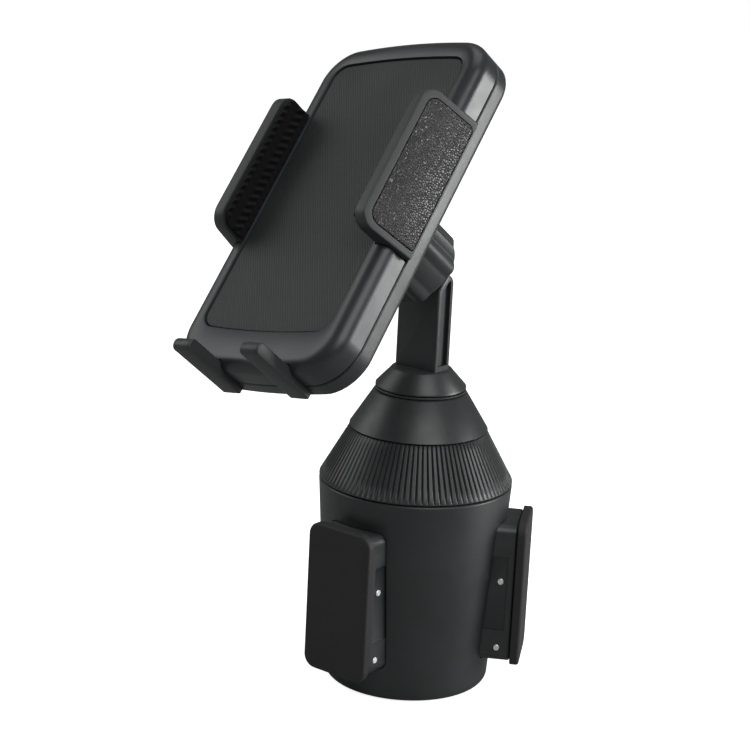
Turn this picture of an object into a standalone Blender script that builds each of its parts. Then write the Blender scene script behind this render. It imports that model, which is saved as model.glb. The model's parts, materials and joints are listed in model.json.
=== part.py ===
"""Cup-holder phone mount: an expanding base, a turning neck with a ball joint, and a clamping cradle.

The origin is the centre of the base's underside. +Z is up and the arm's wide face looks along -Y.
"""
from math import asin, cos, pi, radians, sin, tan

import bmesh
import bpy
from mathutils import Matrix, Vector

MM = 0.001
FIT = 0.3 * MM                      # clearance between neighbouring pieces
ROUND_STEPS = 40                    # sides of a large turned piece
SMALL_STEPS = 12                    # sides of a pin or a screw

# Base cup
CUP_HEIGHT = 70.0 * MM
CUP_FOOT_RADIUS = 28.0 * MM
CUP_TOP_RADIUS = 32.5 * MM
CUP_WALL = 2.2 * MM
FOOT_PAD_THICKNESS = 1.5 * MM
FOOT_PAD_RADIUS = 19.0 * MM
BASE_PLATE_THICKNESS = 3.2 * MM
BASE_SCREW_CIRCLE = 23.6 * MM
PILLAR_RADIUS = 2.7 * MM
PILLAR_HEIGHT = 11.0 * MM

# Fasteners
SCREW_RADIUS = 1.2 * MM
SCREW_HEAD_RADIUS = 2.2 * MM
SCREW_HEAD_HEIGHT = 1.3 * MM

# Adjusting collar, upper cone and the screw drive inside the cup
COLLAR_HEIGHT = 17.6 * MM
COLLAR_TOP_RADIUS = 23.2 * MM
COLLAR_WALL = 2.5 * MM
CONE_HEIGHT = 12.6 * MM
CONE_TOP_RADIUS = 15.5 * MM
CONE_WALL = 2.3 * MM
CONE_ROOF = 3.0 * MM
COLUMN_RADIUS = 3.2 * MM
COLUMN_FLANGE_RADIUS = 9.0 * MM
COLUMN_FLANGE = 2.0 * MM
DRIVE_WALL = 1.8 * MM
DRIVE_FLANGE = 2.6 * MM
DRIVE_FOOT = 9.0 * MM               # height of the drive screw's lower end
HUB_WALL = 2.2 * MM

# Expanding wings
WING_COUNT = 3
WING_FIRST_AZIMUTH = radians(-90.0)
WING_RETRACT = 3.5 * MM
WING_EXTEND = 9.0 * MM
WING_HALF_WIDTH = 11.5 * MM
WING_BOTTOM = 11.5 * MM
WING_HEIGHT = 48.0 * MM
WING_FACE_RADIUS = 36.2 * MM
WING_INNER_RADIUS = 18.5 * MM
WING_WALL = 1.8 * MM
WING_PAD_THICKNESS = 3.2 * MM
WING_PAD_OVERHANG = 1.3 * MM
CROSS_PIN_RADIUS = 1.0 * MM
CROSS_PIN_DEPTH = 4.4 * MM          # behind the housing's front face
CROSS_PIN_HEIGHTS = (16.5 * MM, 40.0 * MM)
DRIVE_PIN_RADIUS = 1.5 * MM
DRIVE_PIN_REACH = 14.5 * MM
DRIVE_PIN_HEIGHT = 24.5 * MM
FIN_HALF_THICKNESS = 1.6 * MM
CHEEK_THICKNESS = 2.4 * MM
SLIDER_HEIGHT = 8.0 * MM
SLOT_MARGIN = 1.4 * MM              # material round the inclined slot

# Neck and arm
WASHER_THICKNESS = 0.7 * MM
NECK_RADIUS = 15.2 * MM
NECK_SHOULDER_RADIUS = 10.5 * MM
NECK_HEIGHT = 6.6 * MM
HUB_PIN_RADIUS = 5.8 * MM
HUB_PIN_LENGTH = 8.4 * MM
RETAINER_THICKNESS = 2.4 * MM
RETAINER_RADIUS = 9.5 * MM
ARM_WIDTH = 16.8 * MM
ARM_DEPTH = 8.0 * MM
ARM_PEAK = 140.9 * MM
ARM_FACE_RUN = 4.6 * MM             # how far the slanted face runs back from the arm's front
ARM_RIM = 1.7 * MM
ARM_RECESS = 1.3 * MM

# Ball joint
STUD_ELEVATION = radians(45.0)
STUD_LENGTH = 12.6 * MM
STUD_RADIUS = 2.8 * MM
STUD_FLANGE_RADIUS = 3.6 * MM
STUD_FLANGE = 1.2 * MM
STUD_SHANK_RADIUS = 2.0 * MM
STUD_SHANK_LENGTH = 3.4 * MM
BALL_RADIUS = 7.5 * MM
LINER_THICKNESS = 0.9 * MM
SOCKET_WALL = 1.3 * MM
SOCKET_LIP = 0.4 * BALL_RADIUS
SOCKET_FLANGE_RADIUS = 17.0 * MM
SOCKET_FLANGE = 2.0 * MM
SOCKET_SCREW_CIRCLE = 14.5 * MM
NUT_FRONT = 11.0 * MM
NUT_BACK = BALL_RADIUS + 1.3 * MM
NUT_WALL = 2.4 * MM
NUT_LOBE = 1.3 * MM
NUT_LOBES = 6
NUT_MOUTH_RADIUS = 0.8133 * BALL_RADIUS
NUT_MOUTH_FLARE = 1.5 * MM
NUT_MOUTH_DEPTH = 1.6 * MM

# Cradle, in its own frame: X across, Y along, Z out of the phone's face, origin at the ball
CRADLE_YAW = radians(-14.7)
CRADLE_ELEVATION = radians(40.4)
CRADLE_SPIN = radians(12.6)
PAD_FACE = 38.5 * MM                # pad surface in front of the ball
CRADLE_DROP = 1.6 * MM              # pad centre below the ball
CRADLE_WIDTH = 72.0 * MM
CRADLE_LENGTH = 121.6 * MM
CRADLE_OFFSET = -3.8 * MM           # shell's middle below the pad's
CRADLE_BOW = 2.4 * MM
CRADLE_CORNER = 12.0 * MM
BORDER_PROUD = 0.6 * MM
FRONT_DEPTH = 9.6 * MM
BACK_DEPTH = 6.0 * MM
SHELL_WALL = 2.0 * MM
PAD_LENGTH = 101.8 * MM
PAD_OFFSET = -1.2 * MM              # pad's middle below the phone's
PAD_BOW = 1.4 * MM
PAD_CORNER = 5.0 * MM
PAD_THICKNESS = 1.5 * MM
PAD_FLOOR = 2.2 * MM
SHELL_SCREW_SPACING = 94.0 * MM

# Jaws
JAW_SPAN = 63.2 * MM                # between the jaws' inner faces at their base
PAD_WIDTH = JAW_SPAN - 5.3 * MM     # clear of the jaws' leaning inner faces
JAW_BASE_THICKNESS = 7.4 * MM
JAW_TIP_THICKNESS = 4.2 * MM
JAW_LEAN = 1.6 * MM
JAW_LENGTH = 51.0 * MM
JAW_MIDDLE = 4.4 * MM
JAW_TIP = 13.0 * MM
JAW_FOOT = -8.6 * MM
GRIP_THICKNESS = 1.4 * MM
INLAY_THICKNESS = 0.9 * MM
INLAY_MARGIN = 2.6 * MM
TONGUE_WIDTH = 8.0 * MM
TONGUE_THICKNESS = 2.6 * MM
TONGUE_OVERLAP = 20.0 * MM
PINION_RADIUS = 4.5 * MM
PINION_POST_RADIUS = 1.3 * MM
SPRING_RADIUS = 5.4 * MM
SPRING_HEIGHT = 1.8 * MM

# Release button, pawl and feet
BUTTON_LENGTH = 12.0 * MM
BUTTON_DEPTH = 12.0 * MM
BUTTON_HEIGHT = 2.8 * MM
BUTTON_PROUD = 1.5 * MM
BUTTON_NOSE = 3.0 * MM              # width of the nose that pushes the pawl
BUTTON_MIDDLE = -30.0 * MM
PAWL_LENGTH = 32.0 * MM
PAWL_WIDTH = 3.4 * MM
PAWL_PIVOT_RADIUS = 1.2 * MM
FOOT_SPACING = 31.0 * MM
FOOT_WIDTH = 8.0 * MM
FOOT_THICKNESS = 4.2 * MM
FOOT_INSET = 2.8 * MM               # how deep a foot's finger sits in the shells' end
FOOT_REACH = 13.0 * MM
FOOT_LEG = 20.0 * MM
FOOT_LEG_HEIGHT = 2.4 * MM
FOOT_CHAMFER = 1.2 * MM
FOOT_SLOT_LENGTH = 6.0 * MM

FINISHES = {
    "satin_shell": ((0.018, 0.019, 0.021), 0.42, 0.0),
    "matte_shell": ((0.024, 0.025, 0.027), 0.55, 0.0),
    "gloss_border": ((0.020, 0.021, 0.023), 0.30, 0.0),
    "soft_rubber": ((0.012, 0.012, 0.013), 0.78, 0.0),
    "leather_rubber": ((0.030, 0.031, 0.032), 0.60, 0.0),
    "grey_nylon": ((0.075, 0.077, 0.080), 0.50, 0.0),
    "inner_plastic": ((0.030, 0.031, 0.033), 0.60, 0.0),
    "bright_steel": ((0.620, 0.620, 0.630), 0.28, 1.0),
}


def clear_scene():
    """Remove whatever the file held before."""
    for old in list(bpy.data.objects):
        bpy.data.objects.remove(old, do_unlink=True)


def finish_material(name):
    """Return the named finish, making it on first use."""
    found = bpy.data.materials.get(name)
    if found:
        return found
    colour, roughness, metallic = FINISHES[name]
    material = bpy.data.materials.new(name)
    material.use_nodes = True
    shader = material.node_tree.nodes["Principled BSDF"]
    shader.inputs["Base Color"].default_value = (*colour, 1.0)
    shader.inputs["Roughness"].default_value = roughness
    shader.inputs["Metallic"].default_value = metallic
    return material


def publish(name, shape, finish, parent=None, smooth=True):
    """Turn a bmesh into a named object under an optional parent."""
    bmesh.ops.remove_doubles(shape, verts=shape.verts, dist=1e-7)
    bmesh.ops.recalc_face_normals(shape, faces=shape.faces)
    mesh = bpy.data.meshes.new(name)
    shape.to_mesh(mesh)
    shape.free()
    if smooth:
        mesh.shade_smooth()
        mesh.set_sharp_from_angle(angle=radians(35.0))
    mesh.materials.append(finish_material(finish))
    made = bpy.data.objects.new(name, mesh)
    bpy.context.scene.collection.objects.link(made)
    made.parent = parent
    return made


def frame_empty(name, matrix):
    """Make an empty that carries the pieces of one joint."""
    empty = bpy.data.objects.new(name, None)
    empty.matrix_world = matrix
    bpy.context.scene.collection.objects.link(empty)
    return empty


def turned_shape(profile, steps=ROUND_STEPS):
    """Spin a closed (radius, height) profile about Z; points at radius 0 close on the axis."""
    shape = bmesh.new()
    verts = [shape.verts.new((radius, 0.0, height)) for radius, height in profile]
    pairs = list(zip(verts, verts[1:] + verts[:1]))
    on_axis = [abs(vert.co.x) < 1e-9 for vert in verts]
    edges = []
    for (first, second), (near, far) in zip(pairs, zip(on_axis, on_axis[1:] + on_axis[:1])):
        if not (near and far):
            edges.append(shape.edges.new((first, second)))
    bmesh.ops.spin(shape, geom=verts + edges, cent=(0, 0, 0), axis=(0, 0, 1), angle=2 * pi,
                   steps=steps, use_merge=True, use_duplicate=False)
    bmesh.ops.remove_doubles(shape, verts=shape.verts, dist=1e-6)
    return shape


def prism_shape(outline, low, high):
    """Raise a flat outline between two heights."""
    shape = bmesh.new()
    base = shape.faces.new([shape.verts.new((x, y, low)) for x, y in outline])
    raised = bmesh.ops.extrude_face_region(shape, geom=[base])["geom"]
    moved = [item for item in raised if isinstance(item, bmesh.types.BMVert)]
    bmesh.ops.translate(shape, verts=moved, vec=(0, 0, high - low))
    return shape


def block_shape(low, high):
    """Make a box between two corners."""
    shape = bmesh.new()
    bmesh.ops.create_cube(shape, size=1.0)
    low, high = Vector(low), Vector(high)
    bmesh.ops.scale(shape, verts=shape.verts, vec=high - low)
    bmesh.ops.translate(shape, verts=shape.verts, vec=(low + high) / 2)
    return shape


def rod_shape(radius, low, high, steps=SMALL_STEPS):
    """Make a solid cylinder about Z."""
    return turned_shape([(0, low), (radius, low), (radius, high), (0, high)], steps)


def blind_tube(bore, outer, low, high, bore_end):
    """Make a boss about Z with a blind hole that opens at its low end."""
    return turned_shape([(bore, low), (outer, low), (outer, high), (0, high), (0, bore_end),
                         (bore, bore_end)], SMALL_STEPS)


def moved_shape(shape, matrix):
    """Move a whole shape and give it back."""
    bmesh.ops.transform(shape, matrix=matrix, verts=shape.verts)
    return shape


def helper_object(name, shape, parent):
    """Make a hidden object that a Boolean modifier uses."""
    tool = publish(name, shape, "inner_plastic", parent, smooth=False)
    tool.hide_render = True
    tool.display_type = "WIRE"
    return tool


def combine(target, shape, operation):
    """Cut a shape out of an object, or weld it on."""
    count = len(target.modifiers) + 1
    tool = helper_object(f"{target.name}_{operation.lower()}_{count}", shape, target.parent)
    modifier = target.modifiers.new(f"{operation.lower()}_{count}", "BOOLEAN")
    modifier.operation = operation
    modifier.solver = "EXACT"
    modifier.object = tool


def soften(target, width, segments=2, angle=radians(40.0)):
    """Round an object's sharp edges."""
    bevel = target.modifiers.new("rounding", "BEVEL")
    bevel.width = width
    bevel.segments = segments
    bevel.limit_method = "ANGLE"
    bevel.angle_limit = angle


def rounded_outline(width, length, corner, bow=0.0, corner_steps=5, side_steps=6):
    """Outline of a rectangle with round corners whose short ends bow outwards."""
    points = []
    half_width, half_length = width / 2, length / 2
    centres = [(half_width - corner, half_length - corner), (corner - half_width, half_length - corner),
               (corner - half_width, corner - half_length), (half_width - corner, corner - half_length)]
    for quarter, (x, y) in enumerate(centres):
        for step in range(corner_steps + 1):
            turn = (quarter + step / corner_steps) * pi / 2
            points.append((x + corner * cos(turn), y + corner * sin(turn)))
        if quarter in (0, 2) and bow:
            start, end = centres[quarter][0], centres[quarter + 1][0]
            level = half_length if quarter == 0 else -half_length
            for step in range(1, side_steps):
                points.append((start + (end - start) * step / side_steps, level))
    return [(x, y + (1 if y > 0 else -1) * bow * (1 - (x / half_width) ** 2)) for x, y in points]


def screw(name, place, parent=None, length=8.0 * MM):
    """Make a pan-head screw; the head's underside is at the place and the shank points up from it."""
    head = [(0, -SCREW_HEAD_HEIGHT), (SCREW_HEAD_RADIUS * 0.7, -SCREW_HEAD_HEIGHT),
            (SCREW_HEAD_RADIUS, -SCREW_HEAD_HEIGHT * 0.5), (SCREW_HEAD_RADIUS, 0),
            (SCREW_RADIUS, 0), (SCREW_RADIUS, length), (0, length)]
    made = publish(name, turned_shape(head, SMALL_STEPS), "bright_steel", parent)
    made.location = place
    return made


# ---------------------------------------------------------------- base

PLATE_LOW = FOOT_PAD_THICKNESS + FIT
PLATE_TOP = PLATE_LOW + BASE_PLATE_THICKNESS
COLLAR_LOW = CUP_HEIGHT + FIT
COLLAR_TOP = COLLAR_LOW + COLLAR_HEIGHT
CONE_LOW = COLLAR_TOP + FIT
CONE_TOP = CONE_LOW + CONE_HEIGHT
DRIVE_INNER = COLUMN_RADIUS + FIT
DRIVE_OUTER = DRIVE_INNER + DRIVE_WALL
HUB_INNER = DRIVE_OUTER + FIT
HUB_OUTER = HUB_INNER + HUB_WALL
PLATE_RADIUS = CUP_FOOT_RADIUS - CUP_WALL - FIT


def base_screw_places():
    """Places of the base screws, midway between the wings."""
    turns = [WING_FIRST_AZIMUTH + (index + 0.5) * 2 * pi / WING_COUNT for index in range(WING_COUNT)]
    return [Vector((BASE_SCREW_CIRCLE * cos(turn), BASE_SCREW_CIRCLE * sin(turn), 0)) for turn in turns]


def wing_frames():
    """Make one empty for each wing, its X axis pointing outwards along the wing's slide."""
    frames = []
    for index in range(WING_COUNT):
        turn = WING_FIRST_AZIMUTH + index * 2 * pi / WING_COUNT
        frames.append(frame_empty(f"wing_{index + 1}_frame", Matrix.Rotation(turn, 4, "Z")))
    return frames


def build_cup():
    """Tapered cup with a window for each wing and a pillar for each base screw."""
    inset = CUP_WALL
    profile = [(CUP_FOOT_RADIUS - 0.8 * MM, 0), (CUP_FOOT_RADIUS, 0.8 * MM), (CUP_TOP_RADIUS, CUP_HEIGHT),
               (CUP_TOP_RADIUS - inset, CUP_HEIGHT), (CUP_FOOT_RADIUS - inset, 0.8 * MM),
               (CUP_FOOT_RADIUS - inset, 0)]
    cup = publish("cup_shell", turned_shape(profile, 60), "satin_shell")
    for place in base_screw_places():
        pillar = blind_tube(SCREW_RADIUS + FIT, PILLAR_RADIUS, PLATE_TOP + FIT,
                            PLATE_TOP + PILLAR_HEIGHT, PLATE_TOP + PILLAR_HEIGHT - 1 * MM)
        combine(cup, moved_shape(pillar, Matrix.Translation(place)), "UNION")
    for index in range(WING_COUNT):
        turn = WING_FIRST_AZIMUTH + index * 2 * pi / WING_COUNT
        window = block_shape((CUP_FOOT_RADIUS / 2, -WING_HALF_WIDTH - FIT, WING_BOTTOM - FIT),
                             (CUP_TOP_RADIUS * 1.4, WING_HALF_WIDTH + FIT, WING_BOTTOM + WING_HEIGHT + FIT))
        combine(cup, moved_shape(window, Matrix.Rotation(turn, 4, "Z")), "DIFFERENCE")


def build_base_plate():
    """Base plate with its foot pad and screws."""
    pad = turned_shape([(0, 0), (FOOT_PAD_RADIUS - 0.4 * MM, 0), (FOOT_PAD_RADIUS, 0.4 * MM),
                        (FOOT_PAD_RADIUS, FOOT_PAD_THICKNESS), (0, FOOT_PAD_THICKNESS)])
    publish("foot_pad", pad, "soft_rubber")
    head_room = SCREW_HEAD_HEIGHT + FIT
    bore = SCREW_RADIUS + FIT
    recess = SCREW_HEAD_RADIUS + FIT
    profile = [(recess, PLATE_LOW), (PLATE_RADIUS, PLATE_LOW), (PLATE_RADIUS, PLATE_TOP),
               (bore, PLATE_TOP), (bore, PLATE_LOW + head_room), (recess, PLATE_LOW + head_room)]
    plate = publish("base_plate", turned_shape(profile), "inner_plastic")
    for number, place in enumerate(base_screw_places(), 1):
        well = [(0, PLATE_LOW - FIT), (recess, PLATE_LOW - FIT), (recess, PLATE_LOW + head_room),
                (bore, PLATE_LOW + head_room), (bore, PLATE_TOP + FIT), (0, PLATE_TOP + FIT)]
        hole = turned_shape(well, SMALL_STEPS)
        combine(plate, moved_shape(hole, Matrix.Translation(place)), "DIFFERENCE")
        screw(f"base_screw_{number}", place + Vector((0, 0, PLATE_LOW + SCREW_HEAD_HEIGHT)),
              length=PILLAR_HEIGHT - 1 * MM)
    screw("column_screw", Vector((0, 0, PLATE_LOW + SCREW_HEAD_HEIGHT)), length=11 * MM)


def build_column():
    """Fixed centre column that carries the upper cone."""
    low = PLATE_TOP + FIT
    top = CONE_LOW + 0.6 * MM
    cone_inside = CONE_TOP_RADIUS + (COLLAR_TOP_RADIUS - CONE_TOP_RADIUS) * 0.75 - CONE_WALL
    bore = SCREW_RADIUS + FIT
    screw_end = PLATE_LOW + SCREW_HEAD_HEIGHT + 12 * MM
    profile = [(bore, low), (COLUMN_FLANGE_RADIUS, low), (COLUMN_FLANGE_RADIUS, low + COLUMN_FLANGE),
               (COLUMN_RADIUS, low + COLUMN_FLANGE), (COLUMN_RADIUS, top), (cone_inside, top),
               (cone_inside, top + COLUMN_FLANGE), (0, top + COLUMN_FLANGE), (0, screw_end),
               (bore, screw_end)]
    publish("centre_column", turned_shape(profile), "inner_plastic")


def build_collar():
    """Adjusting collar with the drive screw that turns with it."""
    profile = [(CUP_TOP_RADIUS, COLLAR_LOW), (COLLAR_TOP_RADIUS, COLLAR_TOP),
               (COLLAR_TOP_RADIUS - COLLAR_WALL, COLLAR_TOP), (CUP_TOP_RADIUS - COLLAR_WALL, COLLAR_LOW)]
    publish("adjuster_collar", turned_shape(profile, 60), "satin_shell")
    flange_low = COLLAR_LOW + 1 * MM
    slope = (CUP_TOP_RADIUS - COLLAR_TOP_RADIUS) / COLLAR_HEIGHT
    flange_radius = CUP_TOP_RADIUS - COLLAR_WALL - slope * (1 * MM + DRIVE_FLANGE) - 2 * FIT
    drive = [(DRIVE_INNER, DRIVE_FOOT), (DRIVE_OUTER, DRIVE_FOOT), (DRIVE_OUTER, flange_low),
             (flange_radius, flange_low), (flange_radius, flange_low + DRIVE_FLANGE),
             (DRIVE_INNER, flange_low + DRIVE_FLANGE)]
    publish("drive_screw", turned_shape(drive), "inner_plastic")


def build_cone():
    """Upper cone that covers the collar's top and carries the swivel."""
    bore = HUB_PIN_RADIUS + FIT
    roof = CONE_TOP - CONE_ROOF
    slope = (COLLAR_TOP_RADIUS - CONE_TOP_RADIUS) / CONE_HEIGHT
    inner_top = CONE_TOP_RADIUS - CONE_WALL + slope * CONE_ROOF
    profile = [(COLLAR_TOP_RADIUS, CONE_LOW), (CONE_TOP_RADIUS, CONE_TOP), (bore, CONE_TOP), (bore, roof),
               (inner_top, roof), (COLLAR_TOP_RADIUS - CONE_WALL, CONE_LOW)]
    publish("upper_cone", turned_shape(profile, 60), "satin_shell")
    washer_low = CONE_TOP + FIT
    washer = [(bore, washer_low), (CONE_TOP_RADIUS - 1 * MM, washer_low),
              (CONE_TOP_RADIUS - 1 * MM, washer_low + WASHER_THICKNESS),
              (bore, washer_low + WASHER_THICKNESS)]
    publish("swivel_washer", turned_shape(washer), "grey_nylon")


# ---------------------------------------------------------------- wings

def build_traveller():
    """Nut that rides on the drive screw; each fin's inclined slot moves one wing."""
    slot_low = DRIVE_PIN_HEIGHT - WING_RETRACT
    slot_high = DRIVE_PIN_HEIGHT + WING_EXTEND
    half_slot = DRIVE_PIN_RADIUS + FIT
    reach = half_slot + SLOT_MARGIN
    hub_low = slot_low - reach
    hub_high = slot_high + reach
    hub = [(HUB_INNER, hub_low), (HUB_OUTER, hub_low), (HUB_OUTER, hub_high), (HUB_INNER, hub_high)]
    traveller = publish("traveller", turned_shape(hub), "grey_nylon")
    near = DRIVE_PIN_REACH - WING_RETRACT
    far = DRIVE_PIN_REACH + WING_EXTEND
    root = (HUB_INNER + HUB_OUTER) / 2
    for index in range(WING_COUNT):
        turn = Matrix.Rotation(WING_FIRST_AZIMUTH + index * 2 * pi / WING_COUNT, 4, "Z")
        upright = turn @ Matrix.Rotation(pi / 2, 4, "X")
        outline = [(root, hub_low + FIT), (near + reach, hub_low + FIT), (far + reach, slot_high - reach),
                   (far + reach, hub_high - FIT), (root, hub_high - FIT)]
        fin = prism_shape(outline, -FIN_HALF_THICKNESS, FIN_HALF_THICKNESS)
        combine(traveller, moved_shape(fin, upright), "UNION")
    for index in range(WING_COUNT):
        turn = Matrix.Rotation(WING_FIRST_AZIMUTH + index * 2 * pi / WING_COUNT, 4, "Z")
        upright = turn @ Matrix.Rotation(pi / 2, 4, "X")
        slot = []
        for step in range(9):
            angle = radians(-45.0) + pi * step / 8
            slot.append((far + half_slot * cos(angle), slot_high + half_slot * sin(angle)))
        for step in range(9):
            angle = radians(135.0) + pi * step / 8
            slot.append((near + half_slot * cos(angle), slot_low + half_slot * sin(angle)))
        cutter = prism_shape(slot, -2 * FIN_HALF_THICKNESS, 2 * FIN_HALF_THICKNESS)
        combine(traveller, moved_shape(cutter, upright), "DIFFERENCE")


def build_wing(number, frame):
    """One wing: housing, grip pad, slider, two cross pins and the drive pin."""
    prefix = f"wing_{number}"
    top = WING_BOTTOM + WING_HEIGHT
    pin_reach = WING_FACE_RADIUS - CROSS_PIN_DEPTH
    across = Matrix.Rotation(pi / 2, 4, "X")

    housing = publish(f"{prefix}_housing", block_shape((WING_INNER_RADIUS, -WING_HALF_WIDTH, WING_BOTTOM),
                      (WING_FACE_RADIUS, WING_HALF_WIDTH, top)), "satin_shell", frame)
    combine(housing, block_shape((WING_INNER_RADIUS - WING_WALL, WING_WALL - WING_HALF_WIDTH,
                                  WING_BOTTOM + WING_WALL),
                                 (WING_FACE_RADIUS - WING_WALL, WING_HALF_WIDTH - WING_WALL,
                                  top - WING_WALL)), "DIFFERENCE")
    for height in CROSS_PIN_HEIGHTS:
        bore = rod_shape(CROSS_PIN_RADIUS + FIT / 2, -WING_HALF_WIDTH - FIT, WING_HALF_WIDTH + FIT)
        combine(housing, moved_shape(bore, Matrix.Translation((pin_reach, 0, height)) @ across), "DIFFERENCE")

    pad_outline = rounded_outline(2 * (WING_HALF_WIDTH + WING_PAD_OVERHANG),
                                  WING_HEIGHT + 2 * WING_PAD_OVERHANG, 3.5 * MM)
    pad = prism_shape(pad_outline, 0, WING_PAD_THICKNESS)
    stand = Matrix.Translation((WING_FACE_RADIUS + FIT, 0, WING_BOTTOM + WING_HEIGHT / 2))
    turn = Matrix(((0, 0, 1, 0), (1, 0, 0, 0), (0, 1, 0, 0), (0, 0, 0, 1)))
    grip = publish(f"{prefix}_pad", moved_shape(pad, stand @ turn), "soft_rubber", frame)
    soften(grip, 0.8 * MM, 1)

    slider_outer = WING_FACE_RADIUS - WING_WALL - FIT
    half = FIN_HALF_THICKNESS + FIT + CHEEK_THICKNESS
    column_low = WING_BOTTOM + WING_WALL + FIT
    column_high = CROSS_PIN_HEIGHTS[1] + 3.4 * MM
    column_near = pin_reach - 3.2 * MM
    bar_low = DRIVE_PIN_HEIGHT - SLIDER_HEIGHT / 2
    bar_high = DRIVE_PIN_HEIGHT + SLIDER_HEIGHT / 2
    inner = DRIVE_PIN_REACH - DRIVE_PIN_RADIUS - FIT - 0.6 * MM
    outline = [(inner, bar_low), (column_near, bar_low), (column_near, column_low),
               (slider_outer, column_low), (slider_outer, column_high), (column_near, column_high),
               (column_near, bar_high), (inner, bar_high)]
    slider = publish(f"{prefix}_slider", moved_shape(prism_shape(outline, -half, half), across),
                     "grey_nylon", frame)
    gap = half - CHEEK_THICKNESS
    combine(slider, block_shape((inner - FIT, -gap, column_low - FIT),
                                (slider_outer - 1.1 * MM, gap, column_high + FIT)), "DIFFERENCE")
    for reach, height, radius in [(pin_reach, CROSS_PIN_HEIGHTS[0], CROSS_PIN_RADIUS),
                                  (pin_reach, CROSS_PIN_HEIGHTS[1], CROSS_PIN_RADIUS),
                                  (DRIVE_PIN_REACH, DRIVE_PIN_HEIGHT, DRIVE_PIN_RADIUS)]:
        bore = rod_shape(radius + FIT, -half - FIT, half + FIT)
        combine(slider, moved_shape(bore, Matrix.Translation((reach, 0, height)) @ across), "DIFFERENCE")

    for label, height in zip(("lower", "upper"), CROSS_PIN_HEIGHTS):
        pin = rod_shape(CROSS_PIN_RADIUS, -WING_HALF_WIDTH - 0.1 * MM, WING_HALF_WIDTH + 0.1 * MM)
        place = Matrix.Translation((pin_reach, 0, height)) @ across
        publish(f"{prefix}_{label}_pin", moved_shape(pin, place), "bright_steel", frame)
    drive_pin = rod_shape(DRIVE_PIN_RADIUS, -half, half)
    place = Matrix.Translation((DRIVE_PIN_REACH, 0, DRIVE_PIN_HEIGHT)) @ across
    publish(f"{prefix}_drive_pin", moved_shape(drive_pin, place), "bright_steel", frame)


# ---------------------------------------------------------------- neck, arm and ball

NECK_LOW = CONE_TOP + 2 * FIT + WASHER_THICKNESS
STUD_AXIS = Vector((0, -cos(STUD_ELEVATION), sin(STUD_ELEVATION)))
ARM_FACE_RISE = ARM_FACE_RUN / tan(STUD_ELEVATION)
ARM_TOP_MIDDLE = Vector((0, (ARM_FACE_RUN - ARM_DEPTH) / 2, ARM_PEAK - ARM_FACE_RISE / 2))
BALL_CENTRE = ARM_TOP_MIDDLE + STUD_AXIS * STUD_LENGTH
STUD_MATRIX = Matrix.Translation(BALL_CENTRE) @ Matrix.Rotation(pi / 2 - STUD_ELEVATION, 4, "X")


def arm_side(foot, inset):
    """Side outline of the arm, or of its recess when inset: slanted front face and round back."""
    front, back = inset - ARM_DEPTH / 2, ARM_DEPTH / 2 - inset
    crest = front + ARM_FACE_RUN - inset / 2
    radius = back - crest
    peak = ARM_PEAK - 1.2 * inset
    points = [(front, foot), (back, foot)]
    for step in range(7):
        turn = pi / 2 * step / 6
        points.append((crest + radius * cos(turn), peak - radius + radius * sin(turn)))
    points.append((front, peak - (crest - front) / tan(STUD_ELEVATION)))
    return points


def build_arm():
    """Neck turntable and arm in one moulding, with the retaining ring on its hub."""
    hub_low = NECK_LOW - HUB_PIN_LENGTH
    profile = [(0, hub_low), (HUB_PIN_RADIUS, hub_low), (HUB_PIN_RADIUS, NECK_LOW), (NECK_RADIUS, NECK_LOW),
               (NECK_RADIUS, NECK_LOW + 0.6 * MM), (NECK_SHOULDER_RADIUS, NECK_LOW + NECK_HEIGHT),
               (0, NECK_LOW + NECK_HEIGHT)]
    neck = publish("arm", turned_shape(profile, 48), "satin_shell")
    foot = NECK_LOW + NECK_HEIGHT / 2
    outline = arm_side(foot, 0.0)
    sideways = Matrix(((0, 0, 1, 0), (1, 0, 0, 0), (0, 1, 0, 0), (0, 0, 0, 1)))
    post = prism_shape(outline, -ARM_WIDTH / 2, ARM_WIDTH / 2)
    combine(neck, moved_shape(post, sideways), "UNION")
    recess_low = NECK_LOW + NECK_HEIGHT + ARM_RIM
    recess = arm_side(recess_low, ARM_RIM)
    for side in (-1, 1):
        floor = side * (ARM_WIDTH / 2 - ARM_RECESS)
        outer = side * (ARM_WIDTH / 2 + 1 * MM)
        pocket = prism_shape(recess, min(floor, outer), max(floor, outer))
        combine(neck, moved_shape(pocket, sideways), "DIFFERENCE")
    bore = rod_shape(STUD_SHANK_RADIUS + FIT, -STUD_LENGTH - STUD_SHANK_LENGTH - FIT, -STUD_LENGTH + FIT)
    combine(neck, moved_shape(bore, STUD_MATRIX), "DIFFERENCE")
    ring_top = CONE_TOP - CONE_ROOF - FIT
    ring_low = ring_top - RETAINER_THICKNESS
    ring_bore = HUB_PIN_RADIUS + FIT
    ring = [(ring_bore, ring_low), (RETAINER_RADIUS, ring_low), (RETAINER_RADIUS, ring_top),
            (ring_bore, ring_top)]
    publish("swivel_retainer", turned_shape(ring), "bright_steel")


def arc_points(radius, start, end, steps=4):
    """Points of an arc about the ball's centre, by angle from the -Z pole."""
    turns = [start + (end - start) * step / steps for step in range(steps + 1)]
    return [(radius * sin(turn), -radius * cos(turn)) for turn in turns]


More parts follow.
